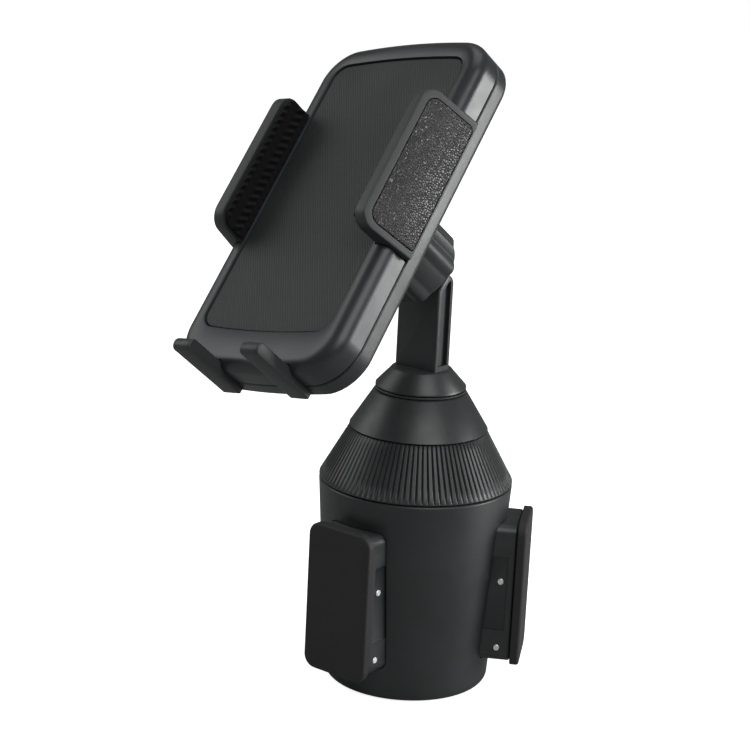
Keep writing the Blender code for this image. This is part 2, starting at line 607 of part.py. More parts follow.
def build_ball_stud():
    """Ball with its stud, flange and shank, along the stud axis."""
    frame = frame_empty("stud_frame", STUD_MATRIX)
    seat = -STUD_LENGTH + FIT
    neck_angle = asin(STUD_RADIUS / BALL_RADIUS)
    profile = [(0, seat - STUD_SHANK_LENGTH), (STUD_SHANK_RADIUS, seat - STUD_SHANK_LENGTH),
               (STUD_SHANK_RADIUS, seat), (STUD_FLANGE_RADIUS, seat),
               (STUD_FLANGE_RADIUS, seat + STUD_FLANGE), (STUD_RADIUS, seat + STUD_FLANGE)]
    profile += arc_points(BALL_RADIUS, neck_angle, pi, 9)[:-1] + [(0, BALL_RADIUS)]
    publish("ball_stud", turned_shape(profile, 28), "satin_shell", frame)
    inner = BALL_RADIUS + FIT
    outer = inner + LINER_THICKNESS
    rear = arc_points(inner, radians(38), radians(72)) + arc_points(outer, radians(38), radians(72))[::-1]
    publish("liner_rear", turned_shape(rear, 28), "grey_nylon", frame)


# ---------------------------------------------------------------- cradle

CRADLE_MATRIX = (Matrix.Translation(BALL_CENTRE) @ Matrix.Rotation(CRADLE_YAW, 4, "Z")
                 @ Matrix.Rotation(pi / 2 - CRADLE_ELEVATION, 4, "X") @ Matrix.Rotation(CRADLE_SPIN, 4, "Z"))
LINER_OUTER = BALL_RADIUS + FIT + LINER_THICKNESS
SOCKET_INNER = LINER_OUTER + FIT
SOCKET_OUTER = SOCKET_INNER + SOCKET_WALL
SEAM = PAD_FACE + BORDER_PROUD - FRONT_DEPTH
BACK_FACE = SEAM - FIT - BACK_DEPTH
CAVITY_FLOOR = BACK_FACE + SHELL_WALL
CAVITY_ROOF = PAD_FACE - PAD_THICKNESS - FIT - PAD_FLOOR
SHELL_MIDDLE = CRADLE_OFFSET - CRADLE_DROP
PAD_MIDDLE = PAD_OFFSET - CRADLE_DROP
JAW_CENTRE = JAW_MIDDLE - CRADLE_DROP
TONGUE_LOW = PAD_FACE + JAW_FOOT
TONGUE_TOP = TONGUE_LOW + TONGUE_THICKNESS
PINION_CENTRE = Vector((0, JAW_CENTRE, 0))
SHELL_SCREWS = [(0.0, SHELL_MIDDLE + SHELL_SCREW_SPACING / 2),
                (0.0, SHELL_MIDDLE - SHELL_SCREW_SPACING / 2)]
FOOT_INNER = SHELL_MIDDLE - CRADLE_LENGTH / 2 - CRADLE_BOW + FOOT_INSET


def shifted(outline, x=0.0, y=0.0):
    """Move a flat outline."""
    return [(px + x, py + y) for px, py in outline]


def build_socket(frame):
    """Socket cup with its flange, screws, front liner and lobed lock nut."""
    flange_top = BACK_FACE - FIT
    flange_low = flange_top - SOCKET_FLANGE
    start = pi / 2 - asin(SOCKET_LIP / SOCKET_INNER)
    cavity = arc_points(SOCKET_INNER, start, pi, 8)[:-1] + [(0, SOCKET_INNER)]
    profile = cavity + [(0, flange_top), (SOCKET_FLANGE_RADIUS, flange_top),
                        (SOCKET_FLANGE_RADIUS, flange_low), (SOCKET_OUTER, flange_low),
                        (SOCKET_OUTER, -SOCKET_LIP)]
    cup = publish("socket_cup", turned_shape(profile, 32), "grey_nylon", frame)
    for number, side in enumerate((-1, 1), 1):
        place = Vector((side * SOCKET_SCREW_CIRCLE, 0, flange_low))
        hole = rod_shape(SCREW_RADIUS + FIT, flange_low - FIT, flange_top + FIT)
        combine(cup, moved_shape(hole, Matrix.Translation((place.x, 0, 0))), "DIFFERENCE")
        screw(f"socket_screw_{number}", place - Vector((0, 0, FIT)), frame, length=6.5 * MM)

    inner = BALL_RADIUS + FIT
    start, end = radians(118), radians(165)
    front = arc_points(inner, start, end) + arc_points(LINER_OUTER, start, end)[::-1]
    publish("liner_front", turned_shape(front, 28), "grey_nylon", frame)

    bore = SOCKET_OUTER + FIT
    body = bore + NUT_WALL
    outline = []
    for step in range(NUT_LOBES * 10):
        turn = 2 * pi * step / (NUT_LOBES * 10)
        radius = body + NUT_LOBE * max(0.0, cos(NUT_LOBES * turn))
        outline.append((radius * cos(turn), radius * sin(turn)))
    nut = publish("lock_nut", prism_shape(outline, -NUT_BACK, NUT_FRONT), "matte_shell", frame)
    hollow = [(0, NUT_FRONT + FIT), (bore, NUT_FRONT + FIT), (bore, -SOCKET_LIP - 1.0 * MM),
              (NUT_MOUTH_RADIUS, NUT_MOUTH_DEPTH - NUT_BACK),
              (NUT_MOUTH_RADIUS + NUT_MOUTH_FLARE, -NUT_BACK - FIT),
              (0, -NUT_BACK - FIT)]
    combine(nut, turned_shape(hollow[::-1], 40), "DIFFERENCE")


def build_shells(frame):
    """Back shell, front shell and the rubber pad between the jaws."""
    outline = shifted(rounded_outline(CRADLE_WIDTH, CRADLE_LENGTH, CRADLE_CORNER, CRADLE_BOW),
                      0, SHELL_MIDDLE)
    inner = shifted(rounded_outline(CRADLE_WIDTH - 2 * SHELL_WALL, CRADLE_LENGTH - 2 * SHELL_WALL,
                                    CRADLE_CORNER - SHELL_WALL, CRADLE_BOW), 0, SHELL_MIDDLE)
    back = publish("cradle_back_shell", prism_shape(outline, BACK_FACE, SEAM - FIT), "satin_shell", frame)
    combine(back, prism_shape(inner, CAVITY_FLOOR, SEAM), "DIFFERENCE")
    post = rod_shape(PINION_POST_RADIUS, CAVITY_FLOOR - SHELL_WALL / 2, CAVITY_ROOF - 2 * FIT)
    combine(back, moved_shape(post, Matrix.Translation(PINION_CENTRE)), "UNION")
    pivot = rod_shape(PAWL_PIVOT_RADIUS, CAVITY_FLOOR - SHELL_WALL / 2, TONGUE_LOW - FIT)
    combine(back, moved_shape(pivot, Matrix.Translation((*pawl_pivot(), 0))), "UNION")
    cut_back_shell(back)

    front = publish("cradle_front_shell", front_shell_shape(), "gloss_border", frame)
    combine(front, prism_shape(inner, SEAM - FIT, CAVITY_ROOF), "DIFFERENCE")
    pocket = shifted(rounded_outline(PAD_WIDTH + 2 * FIT, PAD_LENGTH + 2 * FIT, PAD_CORNER + FIT, PAD_BOW),
                     0, PAD_MIDDLE)
    combine(front, prism_shape(pocket, PAD_FACE - PAD_THICKNESS - FIT, PAD_FACE + 5 * MM),
            "DIFFERENCE")
    for side in (-1, 1):
        near = JAW_SPAN / 2 - JAW_LEAN / 2 - FIT
        reach = CRADLE_WIDTH / 2 + FIT
        inward, outward = sorted((side * near, side * reach))
        notch = block_shape((inward, JAW_CENTRE - JAW_LENGTH / 2 - FIT, SEAM - FIT),
                            (outward, JAW_CENTRE + JAW_LENGTH / 2 + FIT, PAD_FACE + 5 * MM))
        combine(front, notch, "DIFFERENCE")
        combine(front, foot_notch(side, SEAM - FIT, PAD_FACE + 5 * MM), "DIFFERENCE")
    for place in SHELL_SCREWS:
        boss = blind_tube(SCREW_RADIUS + FIT, SCREW_RADIUS + 1.6 * MM, CAVITY_FLOOR + FIT,
                          CAVITY_ROOF + PAD_FLOOR / 2, CAVITY_ROOF - 1 * MM)
        combine(front, moved_shape(boss, Matrix.Translation((*place, 0))), "UNION")

    pad = shifted(rounded_outline(PAD_WIDTH, PAD_LENGTH, PAD_CORNER, PAD_BOW), 0, PAD_MIDDLE)
    publish("cradle_pad", prism_shape(pad, PAD_FACE - PAD_THICKNESS, PAD_FACE), "soft_rubber", frame)
    for number, place in enumerate(SHELL_SCREWS, 1):
        screw(f"shell_screw_{number}", Vector((*place, BACK_FACE - FIT)), frame, length=9.0 * MM)


def front_shell_shape():
    """Front shell as a stack of outlines that draw in towards the rounded border."""
    shape = bmesh.new()
    turn_in = 4.5 * MM
    rings = []
    levels = [(0.0, SEAM)]
    for step in range(5):
        turn = pi / 2 * step / 4
        levels.append((turn_in * (1 - cos(turn)), PAD_FACE + BORDER_PROUD - turn_in * (1 - sin(turn))))
    for inset, height in levels:
        outline = shifted(rounded_outline(CRADLE_WIDTH - 2 * inset, CRADLE_LENGTH - 2 * inset,
                                          CRADLE_CORNER - inset, CRADLE_BOW), 0, SHELL_MIDDLE)
        rings.append([shape.verts.new((x, y, height)) for x, y in outline])
    for lower, upper in zip(rings, rings[1:]):
        count = len(lower)
        for index in range(count):
            after = (index + 1) % count
            shape.faces.new((lower[index], lower[after], upper[after], upper[index]))
    shape.faces.new(rings[0][::-1])
    shape.faces.new(rings[-1])
    return shape


def foot_notch(side, low, high):
    """Room in the shells' lower end for the finger of one foot."""
    middle = side * FOOT_SPACING / 2
    half = FOOT_WIDTH / 2 + FIT
    return block_shape((middle - half, FOOT_INNER - FOOT_INSET - 1 * MM, low),
                       (middle + half, FOOT_INNER, high))


def pawl_pivot():
    """Place of the pawl's pivot, beside the release button's inner end."""
    inner_end = BUTTON_DEPTH - BUTTON_PROUD - CRADLE_WIDTH / 2
    return (inner_end + PAWL_WIDTH / 2 + 2 * FIT, BUTTON_MIDDLE - CRADLE_DROP - BUTTON_LENGTH / 2)


def cut_back_shell(back):
    """Cut the screw holes, the release button's window and the slots of the feet."""
    for place in SHELL_SCREWS:
        hole = rod_shape(SCREW_RADIUS + FIT, BACK_FACE - FIT, CAVITY_FLOOR + FIT)
        combine(back, moved_shape(hole, Matrix.Translation((*place, 0))), "DIFFERENCE")
    for side in (-1, 1):
        hole = rod_shape(SCREW_RADIUS + FIT, BACK_FACE - FIT, CAVITY_FLOOR + FIT)
        combine(back, moved_shape(hole, Matrix.Translation((side * SOCKET_SCREW_CIRCLE, 0, 0))), "DIFFERENCE")
        combine(back, foot_notch(side, CAVITY_FLOOR, SEAM), "DIFFERENCE")
        foot_x = side * FOOT_SPACING / 2
        slot = block_shape((foot_x - FOOT_WIDTH / 2 - FIT, FOOT_INNER - 1 * MM, CAVITY_FLOOR),
                           (foot_x + FOOT_WIDTH / 2 + FIT, FOOT_INNER + FOOT_SLOT_LENGTH,
                            CAVITY_FLOOR + FOOT_LEG_HEIGHT + 2 * FIT))
        combine(back, slot, "DIFFERENCE")
    middle = BUTTON_MIDDLE - CRADLE_DROP
    window = block_shape((-CRADLE_WIDTH / 2 - 1 * MM, middle - BUTTON_LENGTH / 2 - FIT, CAVITY_FLOOR),
                         (-CRADLE_WIDTH / 2 + SHELL_WALL + 1 * MM, middle + BUTTON_LENGTH / 2 + FIT,
                          CAVITY_FLOOR + BUTTON_HEIGHT + 2 * FIT))
    combine(back, window, "DIFFERENCE")


def jaw_section():
    """Cross-section of the right jaw as (across, height) points, foot first."""
    inner_foot = JAW_SPAN / 2
    inner_tip = inner_foot - JAW_LEAN
    outer_foot = inner_foot + JAW_BASE_THICKNESS
    outer_tip = inner_tip + JAW_TIP_THICKNESS
    return [(inner_foot, JAW_FOOT), (outer_foot, JAW_FOOT), (outer_tip + 0.2 * MM, JAW_TIP - 1.5 * MM),
            (outer_tip - 1.2 * MM, JAW_TIP), (inner_tip + 0.8 * MM, JAW_TIP), (inner_tip, JAW_TIP - 0.8 * MM)]


def build_jaw(side, label, frame):
    """One clamping jaw with its rack tongue, ribbed grip and outer inlay."""
    stand = Matrix.Translation((0, JAW_CENTRE, PAD_FACE)) @ Matrix.Rotation(pi / 2, 4, "X")
    mirror = Matrix.Diagonal((side, 1, 1, 1))
    half = JAW_LENGTH / 2
    section = jaw_section()
    jaw = publish(f"jaw_{label}", moved_shape(prism_shape(section, -half, half), mirror @ stand),
                  "matte_shell", frame)
    tongue_y = JAW_CENTRE + side * (PINION_RADIUS + FIT + TONGUE_WIDTH / 2)
    far = JAW_SPAN / 2 + 2 * MM
    ends = sorted((side * far, -side * TONGUE_OVERLAP))
    tongue = block_shape((ends[0], tongue_y - TONGUE_WIDTH / 2, TONGUE_LOW + FIT),
                         (ends[1], tongue_y + TONGUE_WIDTH / 2, TONGUE_TOP))
    combine(jaw, tongue, "UNION")

    slope = JAW_LEAN / (JAW_TIP - JAW_FOOT)
    grip_low, grip_high = 1.2 * MM, JAW_TIP - 1.2 * MM
    near_low = JAW_SPAN / 2 - slope * (grip_low - JAW_FOOT) - FIT
    near_high = JAW_SPAN / 2 - slope * (grip_high - JAW_FOOT) - FIT
    grip_section = [(near_low - GRIP_THICKNESS, grip_low), (near_low, grip_low), (near_high, grip_high),
                    (near_high - GRIP_THICKNESS, grip_high)]
    grip = prism_shape(grip_section, -half + 1 * MM, half - 1 * MM)
    publish(f"jaw_{label}_grip", moved_shape(grip, mirror @ stand), "soft_rubber", frame)

    foot, tip = Vector((*section[1], 0)), Vector((*section[2], 0))
    along = (tip - foot).normalized()
    outward = Vector((along.y, -along.x, 0))
    span = (tip - foot).length - 2 * INLAY_MARGIN
    middle = (foot + tip) / 2 - outward * INLAY_THICKNESS
    face = Matrix(((0, along.x, outward.x, middle.x), (0, along.y, outward.y, middle.y),
                   (-1, 0, 0, 0), (0, 0, 0, 1)))
    inlay = rounded_outline(JAW_LENGTH - 2 * INLAY_MARGIN, span, 2.5 * MM)
    pocket = rounded_outline(JAW_LENGTH - 2 * INLAY_MARGIN + 2 * FIT, span + 2 * FIT, 2.5 * MM + FIT)
    combine(jaw, moved_shape(prism_shape(pocket, -FIT, 4 * MM), mirror @ stand @ face), "DIFFERENCE")
    plate = prism_shape(inlay, 0, INLAY_THICKNESS + 0.2 * MM)
    publish(f"jaw_{label}_inlay", moved_shape(plate, mirror @ stand @ face), "leather_rubber", frame)


def build_jaw_drive(frame):
    """Pinion that keeps the jaws in step, and the flat spring under it."""
    pinion_frame = frame_empty("pinion_frame", CRADLE_MATRIX @ Matrix.Translation(PINION_CENTRE))
    bore = PINION_POST_RADIUS + FIT
    pinion = [(bore, TONGUE_LOW), (PINION_RADIUS, TONGUE_LOW), (PINION_RADIUS, TONGUE_TOP),
              (bore, TONGUE_TOP)]
    publish("pinion", turned_shape(pinion, 32), "grey_nylon", pinion_frame)
    low = CAVITY_FLOOR + FIT
    coil = [(bore + 0.6 * MM, low), (SPRING_RADIUS, low), (SPRING_RADIUS, low + SPRING_HEIGHT),
            (bore + 0.6 * MM, low + SPRING_HEIGHT)]
    publish("jaw_spring", turned_shape(coil, 32), "bright_steel", pinion_frame)


def build_release(frame):
    """Release button in the side of the back shell, and the pawl that it turns."""
    low = CAVITY_FLOOR + FIT
    outer = -CRADLE_WIDTH / 2 - BUTTON_PROUD
    middle = BUTTON_MIDDLE - CRADLE_DROP
    top, bottom = middle + BUTTON_LENGTH / 2, middle - BUTTON_LENGTH / 2
    shoulder = outer + BUTTON_DEPTH * 0.45
    outline = [(outer, bottom), (shoulder, bottom), (shoulder, top - BUTTON_NOSE),
               (outer + BUTTON_DEPTH, top - BUTTON_NOSE), (outer + BUTTON_DEPTH, top), (outer, top)]
    publish("release_button", prism_shape(outline, low, low + BUTTON_HEIGHT), "matte_shell", frame)
    pivot = pawl_pivot()
    pawl_frame = frame_empty("pawl_frame", CRADLE_MATRIX @ Matrix.Translation((*pivot, 0)))
    half = PAWL_WIDTH / 2
    outline = []
    for step in range(9):
        turn = pi + pi * step / 8
        outline.append((half * cos(turn), half * sin(turn)))
    outline += [(half, PAWL_LENGTH - half), (0, PAWL_LENGTH), (-half, PAWL_LENGTH - half)]
    pawl = publish("release_pawl", prism_shape(outline, low, TONGUE_LOW - FIT),
                   "grey_nylon", pawl_frame)
    combine(pawl, rod_shape(PAWL_PIVOT_RADIUS + FIT, low - FIT, TONGUE_LOW), "DIFFERENCE")


def build_foot(side, label, frame):
    """One pull-out foot: a flat leg inside the shell and a finger that holds the phone's end."""
    x = side * FOOT_SPACING / 2
    half = FOOT_WIDTH / 2
    low = CAVITY_FLOOR + FIT
    outer = FOOT_INNER - FIT
    tip = PAD_FACE + FOOT_REACH
    outline = [(outer - FOOT_THICKNESS, low), (outer + FOOT_LEG, low),
               (outer + FOOT_LEG, low + FOOT_LEG_HEIGHT), (outer, low + FOOT_LEG_HEIGHT),
               (outer, tip - FOOT_CHAMFER), (outer - FOOT_CHAMFER, tip),
               (outer - FOOT_THICKNESS + FOOT_CHAMFER, tip),
               (outer - FOOT_THICKNESS, tip - FOOT_CHAMFER)]
    sideways = Matrix(((0, 0, 1, x), (1, 0, 0, 0), (0, 1, 0, 0), (0, 0, 0, 1)))
    foot = publish(f"foot_{label}", moved_shape(prism_shape(outline, -half, half), sideways),
                   "matte_shell", frame)
    soften(foot, 0.5 * MM, 1)


def build_cradle():
    """Everything that turns with the cradle."""
    frame = frame_empty("cradle_frame", CRADLE_MATRIX)
    build_socket(frame)
    build_shells(frame)
    for side, label in ((-1, "left"), (1, "right")):
        build_jaw(side, label, frame)
        build_foot(side, label, frame)
    build_jaw_drive(frame)
    build_release(frame)


def main():
    """Build the whole mount."""
    clear_scene()
    build_cup()
    build_base_plate()
    build_column()
    build_collar()
    build_cone()
    build_traveller()
    for number, frame in enumerate(wing_frames(), 1):
        build_wing(number, frame)
    build_arm()
    build_ball_stud()
    build_cradle()


main()
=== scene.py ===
"""Looks of the cup-holder phone mount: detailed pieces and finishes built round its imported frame."""
import json
import logging
from dataclasses import dataclass
from enum import Enum
from math import acos, asin, cos, floor, pi, radians, sin, tan
from typing import Callable, Optional, Sequence

import bmesh
import bpy
from mathutils import Matrix, Vector


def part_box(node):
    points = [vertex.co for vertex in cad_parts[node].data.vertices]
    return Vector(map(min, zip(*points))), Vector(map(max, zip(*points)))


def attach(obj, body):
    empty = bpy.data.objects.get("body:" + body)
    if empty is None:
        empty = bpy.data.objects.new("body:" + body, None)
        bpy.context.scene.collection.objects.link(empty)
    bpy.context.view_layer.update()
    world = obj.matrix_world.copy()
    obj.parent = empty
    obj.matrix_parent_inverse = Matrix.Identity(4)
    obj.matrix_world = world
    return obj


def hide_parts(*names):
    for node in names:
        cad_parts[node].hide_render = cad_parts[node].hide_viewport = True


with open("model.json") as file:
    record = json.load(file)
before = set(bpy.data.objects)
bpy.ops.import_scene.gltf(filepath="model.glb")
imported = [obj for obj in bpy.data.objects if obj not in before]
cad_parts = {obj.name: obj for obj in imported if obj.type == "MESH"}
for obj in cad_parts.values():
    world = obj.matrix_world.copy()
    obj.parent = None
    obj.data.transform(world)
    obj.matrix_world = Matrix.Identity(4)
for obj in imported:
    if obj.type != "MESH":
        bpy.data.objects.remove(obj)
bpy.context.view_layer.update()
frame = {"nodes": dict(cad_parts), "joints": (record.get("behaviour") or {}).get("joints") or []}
JOINTS = {joint["name"]: joint for joint in frame["joints"]}
MM = 0.001
GAP = 0.3 * MM
BEVEL_PROFILE = 0.5
UPRIGHT = Matrix(((0, 0, 1, 0), (1, 0, 0, 0), (0, 1, 0, 0), (0, 0, 0, 1)))
log = logging.getLogger("phone_mount")

Outline = list[tuple[float, float]]
Shape = bmesh.types.BMesh


# ------------------------------------------------------------------ shape making

def turned(profile: Sequence[tuple[float, float]], steps: int = 144) -> Shape:
    """Spin a closed profile about Z.

    Args:
        profile: (radius, height) points; a stretch at radius 0 lies on the axis.
        steps: Sides of the full turn.

    Returns:
        The turned solid.
    """
    shape = bmesh.new()
    verts = [shape.verts.new((radius, 0.0, height)) for radius, height in profile]
    edges = [shape.edges.new((verts[i - 1], verts[i])) for i in range(len(verts))
             if profile[i - 1][0] + profile[i][0] > 1e-9]
    bmesh.ops.spin(shape, geom=verts + edges, cent=(0, 0, 0), axis=(0, 0, 1), angle=2 * pi, steps=steps,
                   use_merge=True, use_duplicate=False)
    bmesh.ops.remove_doubles(shape, verts=shape.verts, dist=1e-6)
    return shape


def prism(outline: Outline, low: float, high: float) -> Shape:
    """Raise a flat outline between two heights.

    Args:
        outline: (x, y) points in order.
        low: Height of the lower face.
        high: Height of the upper face.

    Returns:
        The straight-sided solid.
    """
    shape = bmesh.new()
    base = shape.faces.new([shape.verts.new((x, y, low)) for x, y in outline])
    raised = bmesh.ops.extrude_face_region(shape, geom=[base])["geom"]
    moved = [item for item in raised if isinstance(item, bmesh.types.BMVert)]
    bmesh.ops.translate(shape, verts=moved, vec=(0, 0, high - low))
    return shape


def loft(levels: Sequence[tuple[Outline, float]]) -> Shape:
    """Run a closed skin through outlines of equal length, with a cap at each end.

    Args:
        levels: (outline, height) pairs in order along the skin.

    Returns:
        The closed solid.
    """
    shape = bmesh.new()
    outline, height = levels[0]
    ring = [shape.verts.new((x, y, height)) for x, y in outline]
    edges = list(shape.faces.new(ring).edges)
    for outline, height in levels[1:]:
        raised = bmesh.ops.extrude_edge_only(shape, edges=edges)["geom"]
        fresh = {item for item in raised if isinstance(item, bmesh.types.BMVert)}
        edges = [item for item in raised if isinstance(item, bmesh.types.BMEdge)
                 and all(vert in fresh for vert in item.verts)]
        ring = [next(edge.other_vert(vert) for edge in vert.link_edges if edge.other_vert(vert) in fresh)
                for vert in ring]
        for vert, (x, y) in zip(ring, outline):
            vert.co = (x, y, height)
    shape.faces.new(ring)
    return shape


def block(low: Sequence[float], high: Sequence[float]) -> Shape:
    """Make a box.

    Args:
        low: Its lowest corner.
        high: Its highest corner.

    Returns:
        The box.
    """
    shape = bmesh.new()
    bmesh.ops.create_cube(shape, size=1.0)
    start, end = Vector(low), Vector(high)
    bmesh.ops.scale(shape, verts=shape.verts, vec=end - start)
    bmesh.ops.translate(shape, verts=shape.verts, vec=(start + end) / 2)
    return shape


def rod(radius: float, low: float, high: float, chamfer: float = 0.0, steps: int = 40) -> Shape:
    """Make a round bar about Z with chamfered ends.

    Args:
        radius: Its radius.
        low: Its lower end.
        high: Its upper end.
        chamfer: Size of the chamfer at both ends.
        steps: Sides of the bar.

    Returns:
        The bar.
    """
    if not chamfer:
        return turned([(0, low), (radius, low), (radius, high), (0, high)], steps)
    return turned([(0, low), (radius - chamfer, low), (radius, low + chamfer), (radius, high - chamfer),
                   (radius - chamfer, high), (0, high)], steps)


def placed(shape: Shape, matrix: Matrix) -> Shape:
    """Move a whole shape and give it back."""
    bmesh.ops.transform(shape, matrix=matrix, verts=shape.verts)
    return shape


def softened(shape: Shape, width: float, segments: int = 3, limit: float = 40.0) -> Shape:
    """Round the edges of a shape that turn by more than a limit.

    Args:
        shape: The shape.
        width: Width of the rounding.
        segments: Faces across the rounding.
        limit: Least angle between two faces, in degrees.

    Returns:
        The same shape.
    """
    bmesh.ops.recalc_face_normals(shape, faces=shape.faces)
    sharp = [edge for edge in shape.edges if len(edge.link_faces) == 2
             and edge.calc_face_angle(0.0) > radians(limit)]
    bmesh.ops.bevel(shape, geom=sharp, offset=width, offset_type="OFFSET", affect="EDGES", segments=segments,
                    profile=BEVEL_PROFILE, material=-1, clamp_overlap=True)
    return shape


def arc(radius: float, start: float, end: float, steps: int,
        centre: tuple[float, float] = (0.0, 0.0)) -> Outline:
    """Points of an arc.

    Args:
        radius: Its radius.
        start: First angle in radians.
        end: Last angle in radians.
        steps: Number of chords.
        centre: Its centre.

    Returns:
        The points, both ends included.
    """
    turns = [start + (end - start) * step / steps for step in range(steps + 1)]
    return [(centre[0] + radius * cos(turn), centre[1] + radius * sin(turn)) for turn in turns]


def rounded_outline(width: float, length: float, corners: Sequence[float], bow: float = 0.0,
                    drop: float = 0.0,
                    corner_steps: int = 10, side_steps: int = 16) -> Outline:
    """Outline of a rectangle with round corners whose ends along Y may bow outwards.

    Args:
        width: Size along X.
        length: Size along Y, without the bow.
        corners: Four radii, from the (+, +) corner anticlockwise, or one for all.
        bow: How far the ends stand out at their middle.
        drop: How far the whole outline moves along Y.
        corner_steps: Chords of each corner.
        side_steps: Chords of each end.

    Returns:
        The points, anticlockwise.
    """
    radii = list(corners) * (4 if len(corners) == 1 else 1)
    signs = [(1, 1), (-1, 1), (-1, -1), (1, -1)]
    points: Outline = []
    for quarter, (sx, sy) in enumerate(signs):
        radius = radii[quarter]
        centre = (sx * (width / 2 - radius), sy * (length / 2 - radius))
        points += arc(radius, quarter * pi / 2, (quarter + 1) * pi / 2, corner_steps, centre)
        if quarter in (0, 2):
            start, end = points[-1][0], signs[quarter + 1][0] * (width / 2 - radii[quarter + 1])
            points += [(start + (end - start) * step / side_steps, sy * length / 2)
                       for step in range(1, side_steps)]
    half = width / 2
    return [(x, y + (bow if y > 0 else -bow) * (1 - (x / half) ** 2) + drop) for x, y in points]


def as_object(name: str, shape: Shape) -> bpy.types.Object:
    """Make an object from a shape, with its doubles merged and its faces pointing out.

    Args:
        name: The object's name.
        shape: The shape, which is freed.

    Returns:
        The object.
    """
    bmesh.ops.remove_doubles(shape, verts=shape.verts, dist=1e-7)
    bmesh.ops.recalc_face_normals(shape, faces=shape.faces)
    mesh = bpy.data.meshes.new(name)
    shape.to_mesh(mesh)
    shape.free()
    made = bpy.data.objects.new(name, mesh)
    bpy.context.scene.collection.objects.link(made)
    return made


def combined(base: Shape, welds: Sequence[Shape] = (), cuts: Sequence[Shape] = ()) -> Shape:
    """Weld shapes on to a base, then cut others out of it.

    Args:
        base: The shape that is worked on.
        welds: Shapes that become part of it.
        cuts: Shapes that are taken away.

    Returns:
        A new shape.
    """
    target = as_object("worked_shape", base)
    tools = []
    for operation, shapes in (("UNION", welds), ("DIFFERENCE", cuts)):
        for shape in shapes:
            tool = as_object("tool_shape", shape)
            modifier = target.modifiers.new(operation, "BOOLEAN")
            modifier.operation = operation
            modifier.solver = "EXACT"
            modifier.object = tool
            tools.append(tool)
    graph = bpy.context.evaluated_depsgraph_get()
    result = bmesh.new()
    result.from_object(target, graph)
    bmesh.ops.remove_doubles(result, verts=result.verts, dist=1e-6)
    for used in [target, *tools]:
        bpy.data.objects.remove(used, do_unlink=True)
    return result


# ------------------------------------------------------------------ finishes

class NodeBoard:
    """Adds and links nodes in one node tree."""

    def __init__(self, tree: bpy.types.NodeTree) -> None:
        """Keep the tree that the nodes go into."""
        self.tree = tree

    def add(self, kind: str, inputs: Optional[dict] = None, **settings: object) -> bpy.types.Node:
        """Add a node.

        Args:
            kind: The node's type name without the ShaderNode prefix.
            inputs: Socket names or numbers, each with a value or a socket to link.
            settings: Properties of the node.

        Returns:
            The node.
        """
        node = self.tree.nodes.new(f"ShaderNode{kind}")
        for key, value in settings.items():
            setattr(node, key, value)
        for key, value in (inputs or {}).items():
            if isinstance(value, bpy.types.NodeSocket):
                self.tree.links.new(value, node.inputs[key])
            else:
                node.inputs[key].default_value = value
        return node

    def math(self, operation: str, first: object, second: object = 0.0, third: object = 0.0) -> object:
        """Add a maths node and return its output."""
        node = self.add("Math", {0: first, 1: second, 2: third}, operation=operation)
        return node.outputs[0]

    def mix(self, factor: object, first: object, second: object) -> object:
        """Add a colour mix and return its output."""
        node = self.add("Mix", {0: factor, 6: first, 7: second}, data_type="RGBA")
        return node.outputs[2]

    def ramp(self, value: object, low: float, high: float) -> object:
        """Spread a range of values over 0 to 1 and return the output."""
        node = self.add("MapRange", {0: value, 1: low, 2: high}, clamp=True)
        return node.outputs[0]


def node_group(name: str, inputs: Sequence[str], outputs: Sequence[str],
               fill: Callable[[NodeBoard, dict, dict], None]) -> bpy.types.NodeTree:
    """Return a shader node group, building it on first use.

    Args:
        name: The group's name.
        inputs: Input names; Vector is a vector, the rest are numbers.
        outputs: Output names, all numbers.
        fill: Function that adds the nodes, given the board, the input sockets and the output sockets.

    Returns:
        The group.
    """
    found = bpy.data.node_groups.get(name)
    if found:
        return found
    group = bpy.data.node_groups.new(name, "ShaderNodeTree")
    for label in inputs:
        kind = "NodeSocketVector" if label == "Vector" else "NodeSocketFloat"
        group.interface.new_socket(name=label, in_out="INPUT", socket_type=kind)
    for label in outputs:
        group.interface.new_socket(name=label, in_out="OUTPUT", socket_type="NodeSocketFloat")
    entry = group.nodes.new("NodeGroupInput")
    leave = group.nodes.new("NodeGroupOutput")
    fill(NodeBoard(group), {s.name: s for s in entry.outputs if s.name},
         {s.name: s for s in leave.inputs if s.name})
    return group


def fill_grain(board: NodeBoard, given: dict, wanted: dict) -> None:
    """Moulded surface: a fine grain and a slow mottle."""
    fine = board.add("TexNoise", {"Vector": given["Vector"], "Scale": given["Scale"], "Detail": 3.0})
    slow = board.add("TexNoise", {"Vector": given["Vector"], "Scale": 42.0, "Detail": 4.0, "Roughness": 0.6})
    board.tree.links.new(fine.outputs["Fac"], wanted["Height"])
    board.tree.links.new(board.ramp(slow.outputs["Fac"], 0.3, 0.7), wanted["Mottle"])


def fill_wear(board: NodeBoard, given: dict, wanted: dict) -> None:
    """Mask of rubbed outer edges, broken up by noise."""
    geometry = board.add("NewGeometry")
    edge = board.ramp(geometry.outputs["Pointiness"], 0.515, 0.62)
    patches = board.add("TexNoise", {"Vector": given["Vector"], "Scale": 260.0, "Detail": 4.0})
    broken = board.ramp(patches.outputs["Fac"], 0.35, 0.68)
    mask = board.math("MULTIPLY", board.math("MULTIPLY", edge, broken), given["Amount"])
    board.tree.links.new(mask, wanted["Mask"])


